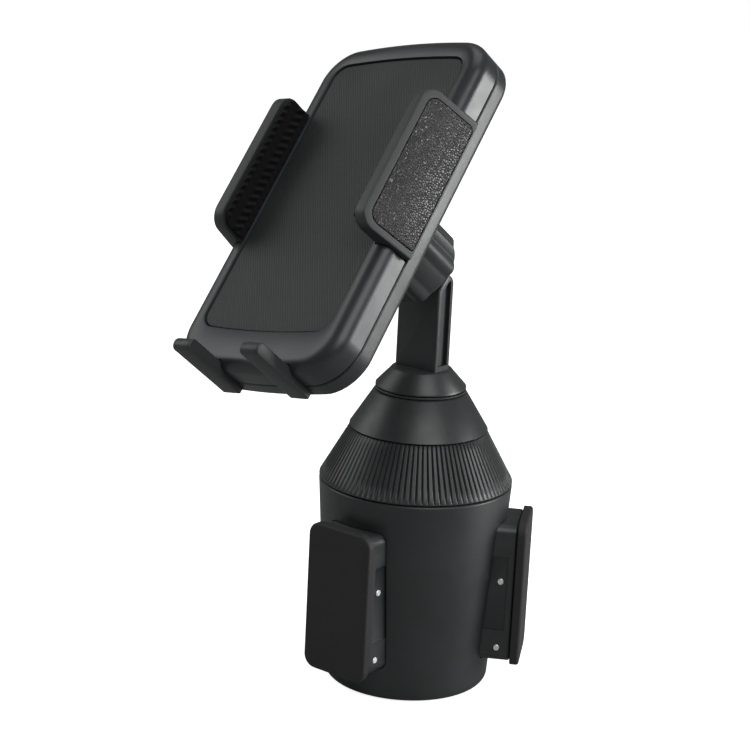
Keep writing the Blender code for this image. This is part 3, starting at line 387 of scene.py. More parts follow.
def fill_dust(board: NodeBoard, given: dict, wanted: dict) -> None:
    """Mask of fine dust that settles on what faces up."""
    geometry = board.add("NewGeometry")
    parts = board.add("SeparateXYZ", {0: geometry.outputs["Normal"]})
    upward = board.ramp(parts.outputs["Z"], 0.1, 1.0)
    specks = board.add("TexNoise", {"Vector": given["Vector"], "Scale": 900.0, "Detail": 2.0})
    clouds = board.add("TexNoise", {"Vector": given["Vector"], "Scale": 35.0, "Detail": 5.0})
    fine = board.ramp(specks.outputs["Fac"], 0.58, 0.72)
    broad = board.ramp(clouds.outputs["Fac"], 0.35, 0.75)
    total = board.math("MULTIPLY", board.math("ADD", board.math("MULTIPLY", fine, 0.6), broad), upward)
    board.tree.links.new(board.math("MULTIPLY", total, given["Amount"]), wanted["Mask"])


def fill_leather(board: NodeBoard, given: dict, wanted: dict) -> None:
    """Pebbled hide: small bulging cells with creases between them."""
    bend = board.add("TexNoise", {"Vector": given["Vector"], "Scale": 500.0, "Detail": 2.0})
    moved = board.add("VectorMath", {0: bend.outputs["Color"], 3: 0.0003}, operation="SCALE")
    where = board.add("VectorMath", {0: given["Vector"], 1: moved.outputs[0]}, operation="ADD")
    cells = board.add("TexVoronoi", {"Vector": where.outputs[0], "Scale": given["Scale"]},
                      feature="DISTANCE_TO_EDGE")
    pebble = board.ramp(cells.outputs["Distance"], 0.0, 0.22)
    board.tree.links.new(pebble, wanted["Height"])


def fill_knurl(board: NodeBoard, given: dict, wanted: dict) -> None:
    """Rows of tiny lozenges in the XY plane of the mapped coordinates."""
    parts = board.add("SeparateXYZ", {0: given["Vector"]})
    along = board.math("MULTIPLY", parts.outputs["X"], given["Scale"])
    across = board.math("MULTIPLY", parts.outputs["Y"], given["Scale"])
    rising = board.math("SINE", board.math("ADD", along, board.math("MULTIPLY", across, 0.62)))
    falling = board.math("SINE", board.math("SUBTRACT", along, board.math("MULTIPLY", across, 0.62)))
    lozenge = board.math("MULTIPLY", board.math("ABSOLUTE", rising), board.math("ABSOLUTE", falling))
    board.tree.links.new(board.math("POWER", lozenge, 0.6), wanted["Height"])


def fill_brushed(board: NodeBoard, given: dict, wanted: dict) -> None:
    """Fine turning marks round the Z direction."""
    squeezed = board.add("VectorMath", {0: given["Vector"], 1: (0.15, 0.15, 6.0)}, operation="MULTIPLY")
    lines = board.add("TexNoise", {"Vector": squeezed.outputs[0], "Scale": given["Scale"], "Detail": 3.0})
    board.tree.links.new(lines.outputs["Fac"], wanted["Height"])


class Pattern(Enum):
    """Relief of a finish."""

    GRAIN = "grain"
    LEATHER = "leather"
    KNURL = "knurl"
    BRUSHED = "brushed"


PATTERN_FILLS = {Pattern.LEATHER: fill_leather, Pattern.KNURL: fill_knurl, Pattern.BRUSHED: fill_brushed}


@dataclass(frozen=True)
class Finish:
    """One finish of the mount and the nodes that make it."""

    name: str
    slot: str
    colour: tuple[float, float, float]
    roughness: float
    metallic: float = 0.0
    specular: float = 0.5
    coat: float = 0.0
    pattern: Pattern = Pattern.GRAIN
    grain_scale: float = 2600.0
    grain_depth: float = 0.012 * MM
    pattern_scale: float = 1000.0
    pattern_depth: float = 0.1 * MM
    mottle: float = 0.16
    wear: float = 0.5
    dust: float = 0.05
    place: Optional[Matrix] = None

    def material(self) -> bpy.types.Material:
        """Return the finish's material, building it on first use."""
        found = bpy.data.materials.get(self.name)
        if found:
            return found
        made = bpy.data.materials.new(self.name)
        made.use_nodes = True
        made.diffuse_color = (*self.colour, 1.0)
        board = NodeBoard(made.node_tree)
        shader = made.node_tree.nodes["Principled BSDF"]
        where = board.add("TexCoord")
        mapping = board.add("Mapping", {"Vector": where.outputs["Object"]}, vector_type="TEXTURE")
        if self.place:
            mapping.inputs["Location"].default_value = self.place.to_translation()
            mapping.inputs["Rotation"].default_value = self.place.to_euler()
        vector = mapping.outputs["Vector"]
        grain = self._group(board, "moulded_grain", ("Vector", "Scale"), ("Height", "Mottle"), fill_grain,
                            {"Vector": vector, "Scale": self.grain_scale})
        wear = self._group(board, "edge_wear", ("Vector", "Amount"), ("Mask",), fill_wear,
                           {"Vector": vector, "Amount": self.wear})
        dust = self._group(board, "settled_dust", ("Vector", "Amount"), ("Mask",), fill_dust,
                           {"Vector": vector, "Amount": self.dust})
        self._colour(board, shader, grain, wear, dust)
        self._relief(board, shader, vector, grain)
        shader.inputs["Metallic"].default_value = self.metallic
        shader.inputs["Specular IOR Level"].default_value = self.specular
        shader.inputs["Coat Weight"].default_value = self.coat
        return made

    def _group(self, board: NodeBoard, name: str, inputs: Sequence[str], outputs: Sequence[str],
               fill: Callable, values: dict) -> bpy.types.Node:
        """Place a shared group with this finish's values and return its node."""
        return board.add("Group", values, node_tree=node_group(name, inputs, outputs, fill))

    def _colour(self, board: NodeBoard, shader: bpy.types.Node, grain: bpy.types.Node, wear: bpy.types.Node,
                dust: bpy.types.Node) -> None:
        """Vary the colour and roughness with mottle, rubbed edges and dust.

        Args:
            board: The material's board.
            shader: Its Principled shader.
            grain: The grain group's node.
            wear: The edge wear group's node.
            dust: The dust group's node.
        """
        dark = tuple(channel * (1 - self.mottle) for channel in self.colour)
        light = tuple(channel * (1 + self.mottle) for channel in self.colour)
        rubbed = tuple(channel * 1.5 + 0.012 for channel in self.colour)
        base = board.mix(grain.outputs["Mottle"], (*dark, 1), (*light, 1))
        base = board.mix(wear.outputs["Mask"], base, (*rubbed, 1))
        base = board.mix(dust.outputs["Mask"], base, (0.32, 0.31, 0.29, 1))
        board.tree.links.new(base, shader.inputs["Base Color"])
        spread = 0.10
        rough = board.math("MULTIPLY_ADD", grain.outputs["Mottle"], spread, self.roughness - spread / 2)
        rough = board.math("MULTIPLY_ADD", wear.outputs["Mask"], -0.12, rough)
        rough = board.math("MULTIPLY_ADD", dust.outputs["Mask"], 0.5, rough)
        board.tree.links.new(rough, shader.inputs["Roughness"])

    def _relief(self, board: NodeBoard, shader: bpy.types.Node, vector: object,
                grain: bpy.types.Node) -> None:
        """Raise the grain and the pattern as bumps.

        Args:
            board: The material's board.
            shader: Its Principled shader.
            vector: The mapped coordinates.
            grain: The grain group's node.
        """
        bump = board.add("Bump", {"Strength": 1.0, "Distance": self.grain_depth,
                                  "Height": grain.outputs["Height"]})
        if self.pattern in PATTERN_FILLS:
            name = f"{self.pattern.value}_relief"
            relief = self._group(board, name, ("Vector", "Scale"), ("Height",), PATTERN_FILLS[self.pattern],
                                 {"Vector": vector, "Scale": self.pattern_scale})
            bump = board.add("Bump", {"Strength": 1.0, "Distance": self.pattern_depth,
                                      "Height": relief.outputs["Height"], "Normal": bump.outputs["Normal"]})
        board.tree.links.new(bump.outputs["Normal"], shader.inputs["Normal"])


def frame_from_axes(across: Vector, outward: Vector, origin: Vector) -> Matrix:
    """Make a frame from its X and Z axes and its origin."""
    along = outward.cross(across)
    made = Matrix((across, along, outward)).transposed().to_4x4()
    made.translation = origin
    return made


BALL_CENTRE = Vector(JOINTS["cradle_spin"]["pos_m"])
CRADLE = frame_from_axes(Vector(JOINTS["jaw_right_slide"]["axis"]), Vector(JOINTS["cradle_spin"]["axis"]),
                         BALL_CENTRE)
STUD = frame_from_axes(Vector((1, 0, 0)), Vector(JOINTS["ball_pan"]["axis"]), BALL_CENTRE)

SATIN = Finish("satin_black_plastic", "satin_shell", (0.018, 0.021, 0.022), 0.42, place=CRADLE)
SATIN_CUP = Finish("satin_black_cup", "satin_shell", (0.017, 0.020, 0.021), 0.42)
MATTE = Finish("matt_black_plastic", "matte_shell", (0.022, 0.025, 0.026), 0.50, grain_depth=0.02 * MM)
BORDER = Finish("half_gloss_border", "gloss_border", (0.018, 0.021, 0.024), 0.37, wear=0.3, place=CRADLE,
                grain_depth=0.006 * MM)
RUBBER = Finish("soft_black_rubber", "soft_rubber", (0.016, 0.016, 0.017), 0.66, specular=0.4, wear=0.25,
                grain_scale=1500.0, grain_depth=0.03 * MM)
PAD_RUBBER = Finish("knurled_rubber_pad", "soft_rubber", (0.020, 0.023, 0.023), 0.52, pattern=Pattern.KNURL,
                    pattern_scale=2 * pi / (2.2 * MM), pattern_depth=0.14 * MM, wear=0.1, place=CRADLE)
GRIP_RUBBER = Finish("ribbed_grip_rubber", "soft_rubber", (0.005, 0.005, 0.006), 0.75, specular=0.25,
                     wear=0.2, grain_depth=0.02 * MM)
LEATHER = Finish("pebbled_inlay", "leather_rubber", (0.024, 0.025, 0.024), 0.40, pattern=Pattern.LEATHER,
                 pattern_scale=1250.0, pattern_depth=0.15 * MM, wear=0.1, dust=0.02, place=CRADLE)
NYLON = Finish("dark_grey_nylon", "grey_nylon", (0.060, 0.062, 0.065), 0.48)
INNER = Finish("charcoal_plastic", "inner_plastic", (0.030, 0.031, 0.033), 0.58)
STEEL = Finish("bright_turned_steel", "bright_steel", (0.78, 0.78, 0.79), 0.30, metallic=1.0,
               pattern=Pattern.BRUSHED, pattern_scale=1800.0, pattern_depth=0.004 * MM, mottle=0.06,
               dust=0.02)
PIN_STEEL = Finish("matt_steel_pin", "bright_steel", (0.86, 0.86, 0.87), 0.50, metallic=1.0, mottle=0.05,
                   wear=0.2,
                   dust=0.02)


@dataclass
class Maker:
    """Publishes finished shapes as pieces that ride on a CAD body."""

    body: str
    place: Matrix
    sharp: float = 38.0

    def publish(self, name: str, shape: Shape, finish: Finish, *nodes: str) -> bpy.types.Object:
        """Put a shape in place, dress it and let it stand for its CAD nodes.

        Args:
            name: The piece's name.
            shape: The shape, in this maker's frame.
            finish: Its finish.
            nodes: The CAD nodes that it replaces; with none given, no CAD node goes.

        Returns:
            The piece.
        """
        made = as_object(name, placed(shape, self.place))
        made.data.shade_smooth()
        made.data.set_sharp_from_angle(angle=radians(self.sharp))
        made.data.materials.append(finish.material())
        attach(made, self.body)
        if nodes:
            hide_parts(*nodes)
        log.info("%s: %d faces, rides on %s", name, len(made.data.polygons), self.body)
        return made


def dress_node(node: str, finish: Finish) -> None:
    """Give a carried-over CAD node a finish."""
    piece = frame["nodes"][node]
    piece.data.materials.clear()
    piece.data.materials.append(finish.material())
    piece.data.shade_smooth()
    piece.data.set_sharp_from_angle(angle=radians(38.0))
    log.info("%s: CAD node in %s", node, finish.name)


# ------------------------------------------------------------------ fasteners

@dataclass
class PanScrew:
    """Pan-head screw with a cross recess; its head looks along -Z."""

    shank_radius: float = 1.2 * MM
    head_radius: float = 2.2 * MM
    head_height: float = 1.3 * MM
    slot_width: float = 0.55 * MM
    slot_reach: float = 1.35 * MM
    slot_depth: float = 0.75 * MM

    def shape(self, length: float) -> Shape:
        """Make the screw.

        Args:
            length: Length of the shank.

        Returns:
            The screw, its head's underside at the origin.
        """
        dome = [(self.head_radius * sin(turn), -self.head_height * (0.35 + 0.65 * cos(turn)))
                for turn in (pi / 2 * step / 6 for step in range(7))]
        pitch = 0.9 * MM
        thread = [(self.shank_radius, 0.0)]
        for turn in range(int(length / pitch) - 1):
            height = pitch * (turn + 0.5)
            thread += [(self.shank_radius * 0.78, height), (self.shank_radius, height + pitch / 2)]
        tip = [(self.shank_radius * 0.4, length), (0.0, length)]
        solid = turned(dome + [(self.head_radius, 0.0)] + thread + tip, 32)
        half, reach = self.slot_width / 2, self.slot_reach
        top = -self.head_height - 1 * MM
        floor_at = self.slot_depth - self.head_height
        cross = [block((-half, -reach, top), (half, reach, floor_at)),
                 block((-reach, -half, top), (reach, half, floor_at))]
        return combined(solid, cuts=cross)


def publish_screw(body: str, node: str, axis: Vector, head_foot: Vector) -> None:
    """Replace a CAD screw by a detailed one.

    Args:
        body: The CAD body it rides on.
        node: The CAD node.
        axis: Direction of the shank from the head.
        head_foot: Centre of the head's outer face.
    """
    screw = PanScrew()
    low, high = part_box(node)
    corners = [Vector((x, y, z)) for x in (low.x, high.x) for y in (low.y, high.y) for z in (low.z, high.z)]
    reach = max((corner - head_foot).dot(axis) for corner in corners)
    if abs(axis.z) < 0.99:
        side = sum(abs(part) * screw.head_radius for part in axis.orthogonal().normalized()) * 0.55
        reach -= side
    turn = Vector((0, 0, 1)).rotation_difference(axis).to_matrix().to_4x4()
    place = Matrix.Translation(head_foot + axis * screw.head_height) @ turn
    shape = screw.shape(reach - screw.head_height)
    Maker(body, place).publish(f"{node}_cross", shape, STEEL, node)


# ------------------------------------------------------------------ base

@dataclass
class Base:
    """Tapered cup, its foot, base plate and upper cone."""

    body: str = "base"
    foot_radius: float = 28.0 * MM
    wall: float = 2.2 * MM
    lip: float = 0.7 * MM
    foot_round: float = 3.2 * MM
    rim_width: float = 0.5 * MM
    window_half_width: float = 11.8 * MM
    window_corner: float = 3.3 * MM
    plate_radius: float = 25.5 * MM
    screw_circle: float = 23.6 * MM
    pillar_radius: float = 2.7 * MM
    screw_radius: float = 1.2 * MM
    head_radius: float = 2.2 * MM
    head_room: float = 1.6 * MM
    cone_wall: float = 2.3 * MM
    cone_roof: float = 3.0 * MM
    cone_bore: float = 6.1 * MM
    cone_top_radius: float = 15.5 * MM

    def build(self) -> None:
        """Build every piece of the base."""
        maker = Maker(self.body, Matrix())
        maker.publish("base_cup", self._cup(), SATIN_CUP, "cup_shell")
        maker.publish("rubber_foot", self._foot(), RUBBER, "foot_pad")
        maker.publish("ribbed_base_plate", self._plate(), INNER, "base_plate")
        maker.publish("cone_cover", self._cone(), SATIN_CUP, "upper_cone")
        for number in (1, 2, 3):
            self._screw(f"base_screw_{number}")
        self._screw("column_screw")
        maker.publish("swivel_slip_ring", self._washer(), SATIN_CUP, "swivel_washer")
        dress_node("centre_column", INNER)

    def _screw(self, node: str) -> None:
        """Replace one of the screws in the base plate."""
        low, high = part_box(node)
        publish_screw(self.body, node, Vector((0, 0, 1)),
                      Vector(((low.x + high.x) / 2, (low.y + high.y) / 2, low.z)))

    def _screw_places(self) -> list[Vector]:
        """Centres of the base screws."""
        places = []
        for number in (1, 2, 3):
            low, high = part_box(f"base_screw_{number}")
            places.append(Vector(((low.x + high.x) / 2, (low.y + high.y) / 2, 0)))
        return places

    def _cup(self) -> Shape:
        """Tapered shell with a rounded foot and lip, three windows and three screw pillars."""
        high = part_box("cup_shell")[1]
        top_radius, height = high.x, high.z
        inside_radius = self.foot_radius - self.wall
        centre = self.foot_radius - self.foot_round
        start = acos((inside_radius + self.rim_width - centre) / self.foot_round)
        foot = arc(self.foot_round, -start, 0.0, 10, (centre, self.foot_round))
        lip = arc(self.lip, 0.0, pi / 2, 4, (top_radius - self.lip, height - self.lip))
        inner_lip = arc(self.lip, pi / 2, pi, 4, (top_radius - self.wall + self.lip, height - self.lip))
        inside = [(inside_radius, self.foot_round), (inside_radius, foot[0][1])]
        shell = turned(foot + lip + inner_lip + inside, 192)
        plate_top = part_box("base_plate")[1].z
        pillars = [placed(turned([(self.screw_radius + GAP, plate_top + GAP),
                                  (self.pillar_radius, plate_top + GAP),
                                  (self.pillar_radius, plate_top + 11 * MM), (0, plate_top + 11 * MM),
                                  (0, plate_top + 10 * MM), (self.screw_radius + GAP, plate_top + 10 * MM)],
                                 32),
                          Matrix.Translation(place)) for place in self._screw_places()]
        windows = []
        for number in (1, 2, 3):
            bottom, top = (corner.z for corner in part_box(f"wing_{number}_housing"))
            outline = rounded_outline(2 * self.window_half_width, top - bottom + 2 * GAP,
                                      (self.window_corner,))
            cutter = prism(outline, self.foot_radius / 2, top_radius * 1.3)
            windows.append(placed(cutter, wing_frame(number) @ Matrix.Translation((0, 0, (bottom + top) / 2))
                                  @ UPRIGHT))
        return combined(shell, pillars, windows)

    def _foot(self) -> Shape:
        """Rubber foot with concentric grip grooves."""
        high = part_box("foot_pad")[1]
        radius, groove = high.x, 0.5 * MM
        profile = [(0.0, 0.0)]
        for ring in range(1, 5):
            middle = radius * ring / 5
            profile += [(middle - groove, 0.0), (middle - groove * 0.6, groove),
                        (middle + groove * 0.6, groove),
                        (middle + groove, 0.0)]
        profile += arc(0.45 * MM, -pi / 2, 0.0, 4, (radius - 0.45 * MM, 0.45 * MM))
        profile += [(radius, high.z), (0.0, high.z)]
        return turned(profile, 128)

    def _plate(self) -> Shape:
        """Base plate with screw wells and a raised rim line."""
        low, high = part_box("base_plate")
        bore, recess = self.screw_radius + GAP, self.head_radius + GAP
        room = low.z + self.head_room
        profile = [(recess, low.z), (19.6 * MM, low.z), (19.9 * MM, low.z + 0.5 * MM),
                   (20.5 * MM, low.z + 0.5 * MM),
                   (20.8 * MM, low.z), (self.plate_radius - 0.5 * MM, low.z),
                   (self.plate_radius, low.z + 0.5 * MM),
                   (self.plate_radius, high.z), (bore, high.z), (bore, room), (recess, room)]
        holes = []
        for place in self._screw_places():
            step = Matrix.Translation(place)
            holes += [placed(rod(bore, -GAP, high.z + GAP), step),
                      placed(rod(recess, -GAP, room), step)]
        return combined(turned(profile, 128), cuts=holes)

    def _washer(self) -> Shape:
        """Slip ring that fills the seam under the neck."""
        low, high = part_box("swivel_washer")
        outer, edge = self.cone_top_radius - 0.35 * MM, 0.15 * MM
        return turned([(self.cone_bore, low.z), (outer - edge, low.z), (outer, low.z + edge),
                       (outer, high.z - edge), (outer - edge, high.z), (self.cone_bore, high.z)], 128)

    def _cone(self) -> Shape:
        """Smooth cone with softened rims."""
        low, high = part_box("upper_cone")
        foot, top = high.x, self.cone_top_radius
        slope = (foot - top) / (high.z - low.z)
        rim = 0.3 * MM

        def side(drop: float) -> float:
            """Outer radius at a distance below the top."""
            return top + slope * drop
        outside = [(foot - rim, low.z), (foot, low.z + rim)]
        outside += [(side(rim), high.z - rim), (top - rim, high.z)]
        roof = high.z - self.cone_roof
        inner_top = top - self.cone_wall + slope * self.cone_roof
        inside = [(self.cone_bore, high.z), (self.cone_bore, roof), (inner_top, roof),
                  (foot - self.cone_wall, low.z)]
        return turned(outside + inside, 192)


def wing_frame(number: int) -> Matrix:
    """Frame of a wing, its X axis along the wing's slide."""
    outward = Vector(JOINTS[f"wing_{number}_slide"]["axis"])
    return frame_from_axes(outward, Vector((0, 0, 1)), Vector((0, 0, 0)))


@dataclass
class Collar:
    """Fluted collar that turns the drive screw."""

    body: str = "collar"
    flutes: int = 100
    steps_each: int = 8
    flute_depth: float = 0.85 * MM
    groove_share: float = 0.42
    wall: float = 2.5 * MM
    top_radius: float = 23.2 * MM
    rim: float = 0.5 * MM

    def build(self) -> None:
        """Build the collar and dress the drive screw."""
        Maker(self.body, Matrix(), 30.0).publish("fluted_collar", self._ring(), SATIN_CUP, "adjuster_collar")
        dress_node("drive_screw", INNER)

    def _ring(self) -> Shape:
        """Truncated cone whose outer wall is cut by narrow upright flutes."""
        low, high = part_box("adjuster_collar")
        foot, top = high.x, self.top_radius
        profile = [(foot - self.rim, low.z), (foot, low.z + self.rim * 0.6), (foot, low.z + self.rim * 1.4)]
        for step in range(1, 8):
            share = step / 8
            profile.append((foot + (top - foot) * share, low.z + self.rim * 1.4
                            + (high.z - low.z - self.rim * 2) * share))
        profile += [(top, high.z - self.rim * 0.6), (top - self.rim, high.z), (top - self.wall, high.z),
                    (foot - self.wall, low.z)]
        shape = turned(profile, self.flutes * self.steps_each)
        floor_line = low.z + self.rim * 1.5
        for vert in shape.verts:
            radius = vert.co.xy.length
            share = (vert.co.z - low.z) / (high.z - low.z)
            outer = foot + (top - foot) * share
            if vert.co.z < floor_line or radius < outer - self.wall * 0.6:
                continue
            turn = (Vector((1, 0)).angle_signed(vert.co.xy, 0.0) / (2 * pi) * self.flutes) % 1.0
            within = abs(turn - 0.5) / (self.groove_share / 2)
            if within < 1.0:
                depth = self.flute_depth * (0.5 + 0.5 * cos(pi * within)) * (0.75 + 0.25 * (1 - share))
                vert.co.xy *= (radius - depth) / radius
        return shape


@dataclass
class Wing:
    """One expanding wing: rounded housing, rubber plate and steel cross pins."""

    number: int
    half_width: float = 11.5 * MM
    overhang: float = 1.3 * MM
    corner: float = 3.0 * MM
    pad_corner: float = 4.3 * MM
    pad_round: float = 0.9 * MM
    pad_thickness: float = 3.2 * MM
    inner_radius: float = 18.5 * MM
    face_radius: float = 36.2 * MM
    wall: float = 1.8 * MM
    pin_radius: float = 1.1 * MM
    pin_depth: float = 4.4 * MM
    panel_depth: float = 0.35 * MM
    panel_margin: float = 2.2 * MM
    panel_low: float = 11.4 * MM
    panel_high: float = 37.3 * MM

    def build(self) -> None:
        """Build the wing's pieces."""
        prefix = f"wing_{self.number}"
        low, high = (corner.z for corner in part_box(f"{prefix}_housing"))
        maker = Maker(prefix, wing_frame(self.number))
        maker.publish(f"{prefix}_box", self._housing(low, high), SATIN_CUP, f"{prefix}_housing")
        maker.publish(f"{prefix}_plate", self._plate(low, high), RUBBER, f"{prefix}_pad")
        for label in ("lower", "upper"):
            middle = sum(corner.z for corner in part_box(f"{prefix}_{label}_pin")) / 2
            maker.publish(f"{prefix}_{label}_steel_pin", self._pin(middle), PIN_STEEL,
                          f"{prefix}_{label}_pin")
        dress_node(f"{prefix}_slider", NYLON)
        dress_node(f"{prefix}_drive_pin", STEEL)

    def _pin_place(self, height: float) -> Matrix:
        """Frame of a cross pin at a height."""
        return Matrix.Translation((self.face_radius - self.pin_depth, 0, height)) @ Matrix.Rotation(pi / 2,
                                                                                                    4, "X")

    def _pin(self, height: float) -> Shape:
        """Cross pin with domed ends."""
        reach = self.half_width + 0.1 * MM
        return placed(rod(self.pin_radius, -reach, reach, 0.2 * MM, 32), self._pin_place(height))

    def _housing(self, low: float, high: float) -> Shape:
        """Open box with rounded edges, pin bores and a shallow panel in each side wall.

        Args:
            low: Height of its foot.
            high: Height of its top.

        Returns:
            The housing in the wing's frame.
        """
        middle = Matrix.Translation((0, 0, (low + high) / 2)) @ UPRIGHT
        length = high - low
        outer = rounded_outline(2 * self.half_width, length, (self.corner,))
        slim = rounded_outline(2 * self.half_width - 0.6 * MM, length - 0.6 * MM, (self.corner - 0.3 * MM,))
        box = loft([(outer, self.inner_radius), (outer, self.face_radius - 0.4 * MM),
                    (slim, self.face_radius)])
        inner = rounded_outline(2 * (self.half_width - self.wall), length - 2 * self.wall, (1.4 * MM,))
        hollow = prism(inner, self.inner_radius - 1 * MM, self.face_radius - self.wall)
        cuts = [placed(hollow, middle)]
        for node in ("lower_pin", "upper_pin"):
            height = sum(corner.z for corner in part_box(f"wing_{self.number}_{node}")) / 2
            bore = rod(self.pin_radius + GAP / 2, -2 * self.half_width, 2 * self.half_width, 0.0, 32)
            cuts.append(placed(bore, self._pin_place(height)))
        for side in (-1, 1):
            near, far = sorted((side * (self.half_width - self.panel_depth),
                                side * (self.half_width + 1 * MM)))
            cuts.append(softened(block((self.inner_radius - 1 * MM, near, low + self.panel_low),
                                       (self.face_radius - self.panel_margin, far, low + self.panel_high)),
                                 0.25 * MM, 2))
        return combined(placed(box, middle), cuts=cuts)

    def _plate(self, low: float, high: float) -> Shape:
        """Rubber plate with soft edges and a faint crown.

        Args:
            low: Height of the housing's foot.
            high: Height of the housing's top.

        Returns:
            The plate in the wing's frame.
        """
        width = 2 * (self.half_width + self.overhang)
        length = high - low + 2 * self.overhang
        base = self.face_radius + GAP
        levels = [(0.25 * MM, 0.0), (0.0, 0.25 * MM)]
        for step in range(7):
            turn = pi / 2 * step / 6
            levels.append((self.pad_round * (1 - cos(turn)),
                           self.pad_thickness - 0.12 * MM - self.pad_round * (1 - sin(turn))))
        levels += [(self.half_width * 0.45, self.pad_thickness - 0.02 * MM),
                   (self.half_width * 0.8, self.pad_thickness)]
        rings = [(rounded_outline(width - 2 * inset, length - 2 * inset,
                                  (max(self.pad_corner - inset, 0.6 * MM),)), base + rise)
                 for inset, rise in levels]
        return placed(loft(rings), Matrix.Translation((0, 0, (low + high) / 2)) @ UPRIGHT)


# ------------------------------------------------------------------ neck, arm and ball joint

@dataclass
class Arm:
    """Neck turntable with the rectangular arm and the ball stud."""

    body: str = "arm"
    neck_radius: float = 15.2 * MM
    shoulder_radius: float = 10.5 * MM
    neck_height: float = 6.6 * MM
    hub_radius: float = 5.8 * MM
    hub_length: float = 8.4 * MM
    width: float = 16.8 * MM
    depth: float = 8.0 * MM
    face_run: float = 4.6 * MM
    rim: float = 1.7 * MM
    recess: float = 1.3 * MM
    edge_round: float = 0.7 * MM
    stud_length: float = 12.6 * MM
    stud_radius: float = 2.8 * MM
    ball_radius: float = 7.5 * MM

    def build(self) -> None:
        """Build the arm, its retaining ring and the ball."""
        maker = Maker(self.body, Matrix())
        maker.publish("neck_and_arm", self._arm(), SATIN_CUP, "arm")
        maker.publish("retaining_ring", self._retainer(), STEEL, "swivel_retainer")
        Maker(self.body, STUD).publish("ball_and_stud", self._ball(), SATIN_CUP, "ball_stud")

    def _side(self, foot: float, peak: float, inset: float) -> Outline:
        """Side outline of the arm, or of its recess when inset.

        Args:
            foot: Height of its lower end.
            peak: Height of its top.
            inset: How far the outline draws in.

        Returns:
            (y, z) points.
        """
        front, back = inset - self.depth / 2, self.depth / 2 - inset
        crest = front + self.face_run - inset / 2
        radius = back - crest
        top = peak - 1.2 * inset
        elevation = asin(Vector(JOINTS["ball_pan"]["axis"]).z)
        rounded = arc(radius, 0.0, pi / 2, 10, (crest, top - radius))
        return [(front, foot), (back, foot)] + rounded + [(front, top - (crest - front) / tan(elevation))]

    def _arm(self) -> Shape:
        """Neck and arm in one moulding with a framed recess in each side."""
        low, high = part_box("arm")
        base = low.z + self.hub_length
        neck_top = base + self.neck_height
        slope = [(self.neck_radius - 0.25 * MM, base), (self.neck_radius, base + 0.25 * MM),
                 (self.neck_radius - 0.1 * MM, base + 0.8 * MM)]
        crown = arc(1.2 * MM, radians(25), pi / 2, 5, (self.shoulder_radius - 1.2 * MM, neck_top - 1.2 * MM))
        neck = turned([(0, low.z), (self.hub_radius, low.z), (self.hub_radius, base)] + slope + crown
                      + [(0, neck_top)], 144)
        post = prism(self._side(base + self.neck_height / 2, high.z, 0.0), -self.width / 2, self.width / 2)
        post = softened(post, self.edge_round, 3, 50.0)
        pockets = []
        for side in (-1, 1):
            near, far = sorted((side * (self.width / 2 - self.recess), side * (self.width / 2 + 1 * MM)))
            pockets.append(placed(prism(self._side(neck_top + self.rim, high.z, self.rim), near, far),
                                  UPRIGHT))
        bore = placed(rod(2.3 * MM, -self.stud_length - 3.7 * MM, -self.stud_length + GAP), STUD)
        return combined(neck, [placed(post, UPRIGHT)], pockets + [bore])

    def _retainer(self) -> Shape:
        """Flat ring with softened rims."""
        low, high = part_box("swivel_retainer")
        bore, outer, rim = self.hub_radius + GAP, high.x, 0.3 * MM
        return turned([(bore, low.z), (outer - rim, low.z), (outer, low.z + rim), (outer, high.z - rim),
                       (outer - rim, high.z), (bore, high.z)], 96)

    def _ball(self) -> Shape:
        """Ball on its stud, with the flange that sits on the arm."""
        seat = GAP - self.stud_length
        shank, flange = 2.0 * MM, 3.6 * MM
        start = asin(self.stud_radius / self.ball_radius)
        profile = [(0, seat - 3.4 * MM), (shank, seat - 3.4 * MM), (shank, seat), (flange - 0.2 * MM, seat),
                   (flange, seat + 0.2 * MM), (flange, seat + 1.0 * MM), (flange - 0.2 * MM, seat + 1.2 * MM),
                   (self.stud_radius, seat + 1.2 * MM)]
        ball = [(self.ball_radius * sin(turn), -self.ball_radius * cos(turn))
                for turn in (start + (pi - start) * step / 32 for step in range(33))]
        return turned(profile + ball[:-1] + [(0, self.ball_radius)], 96)


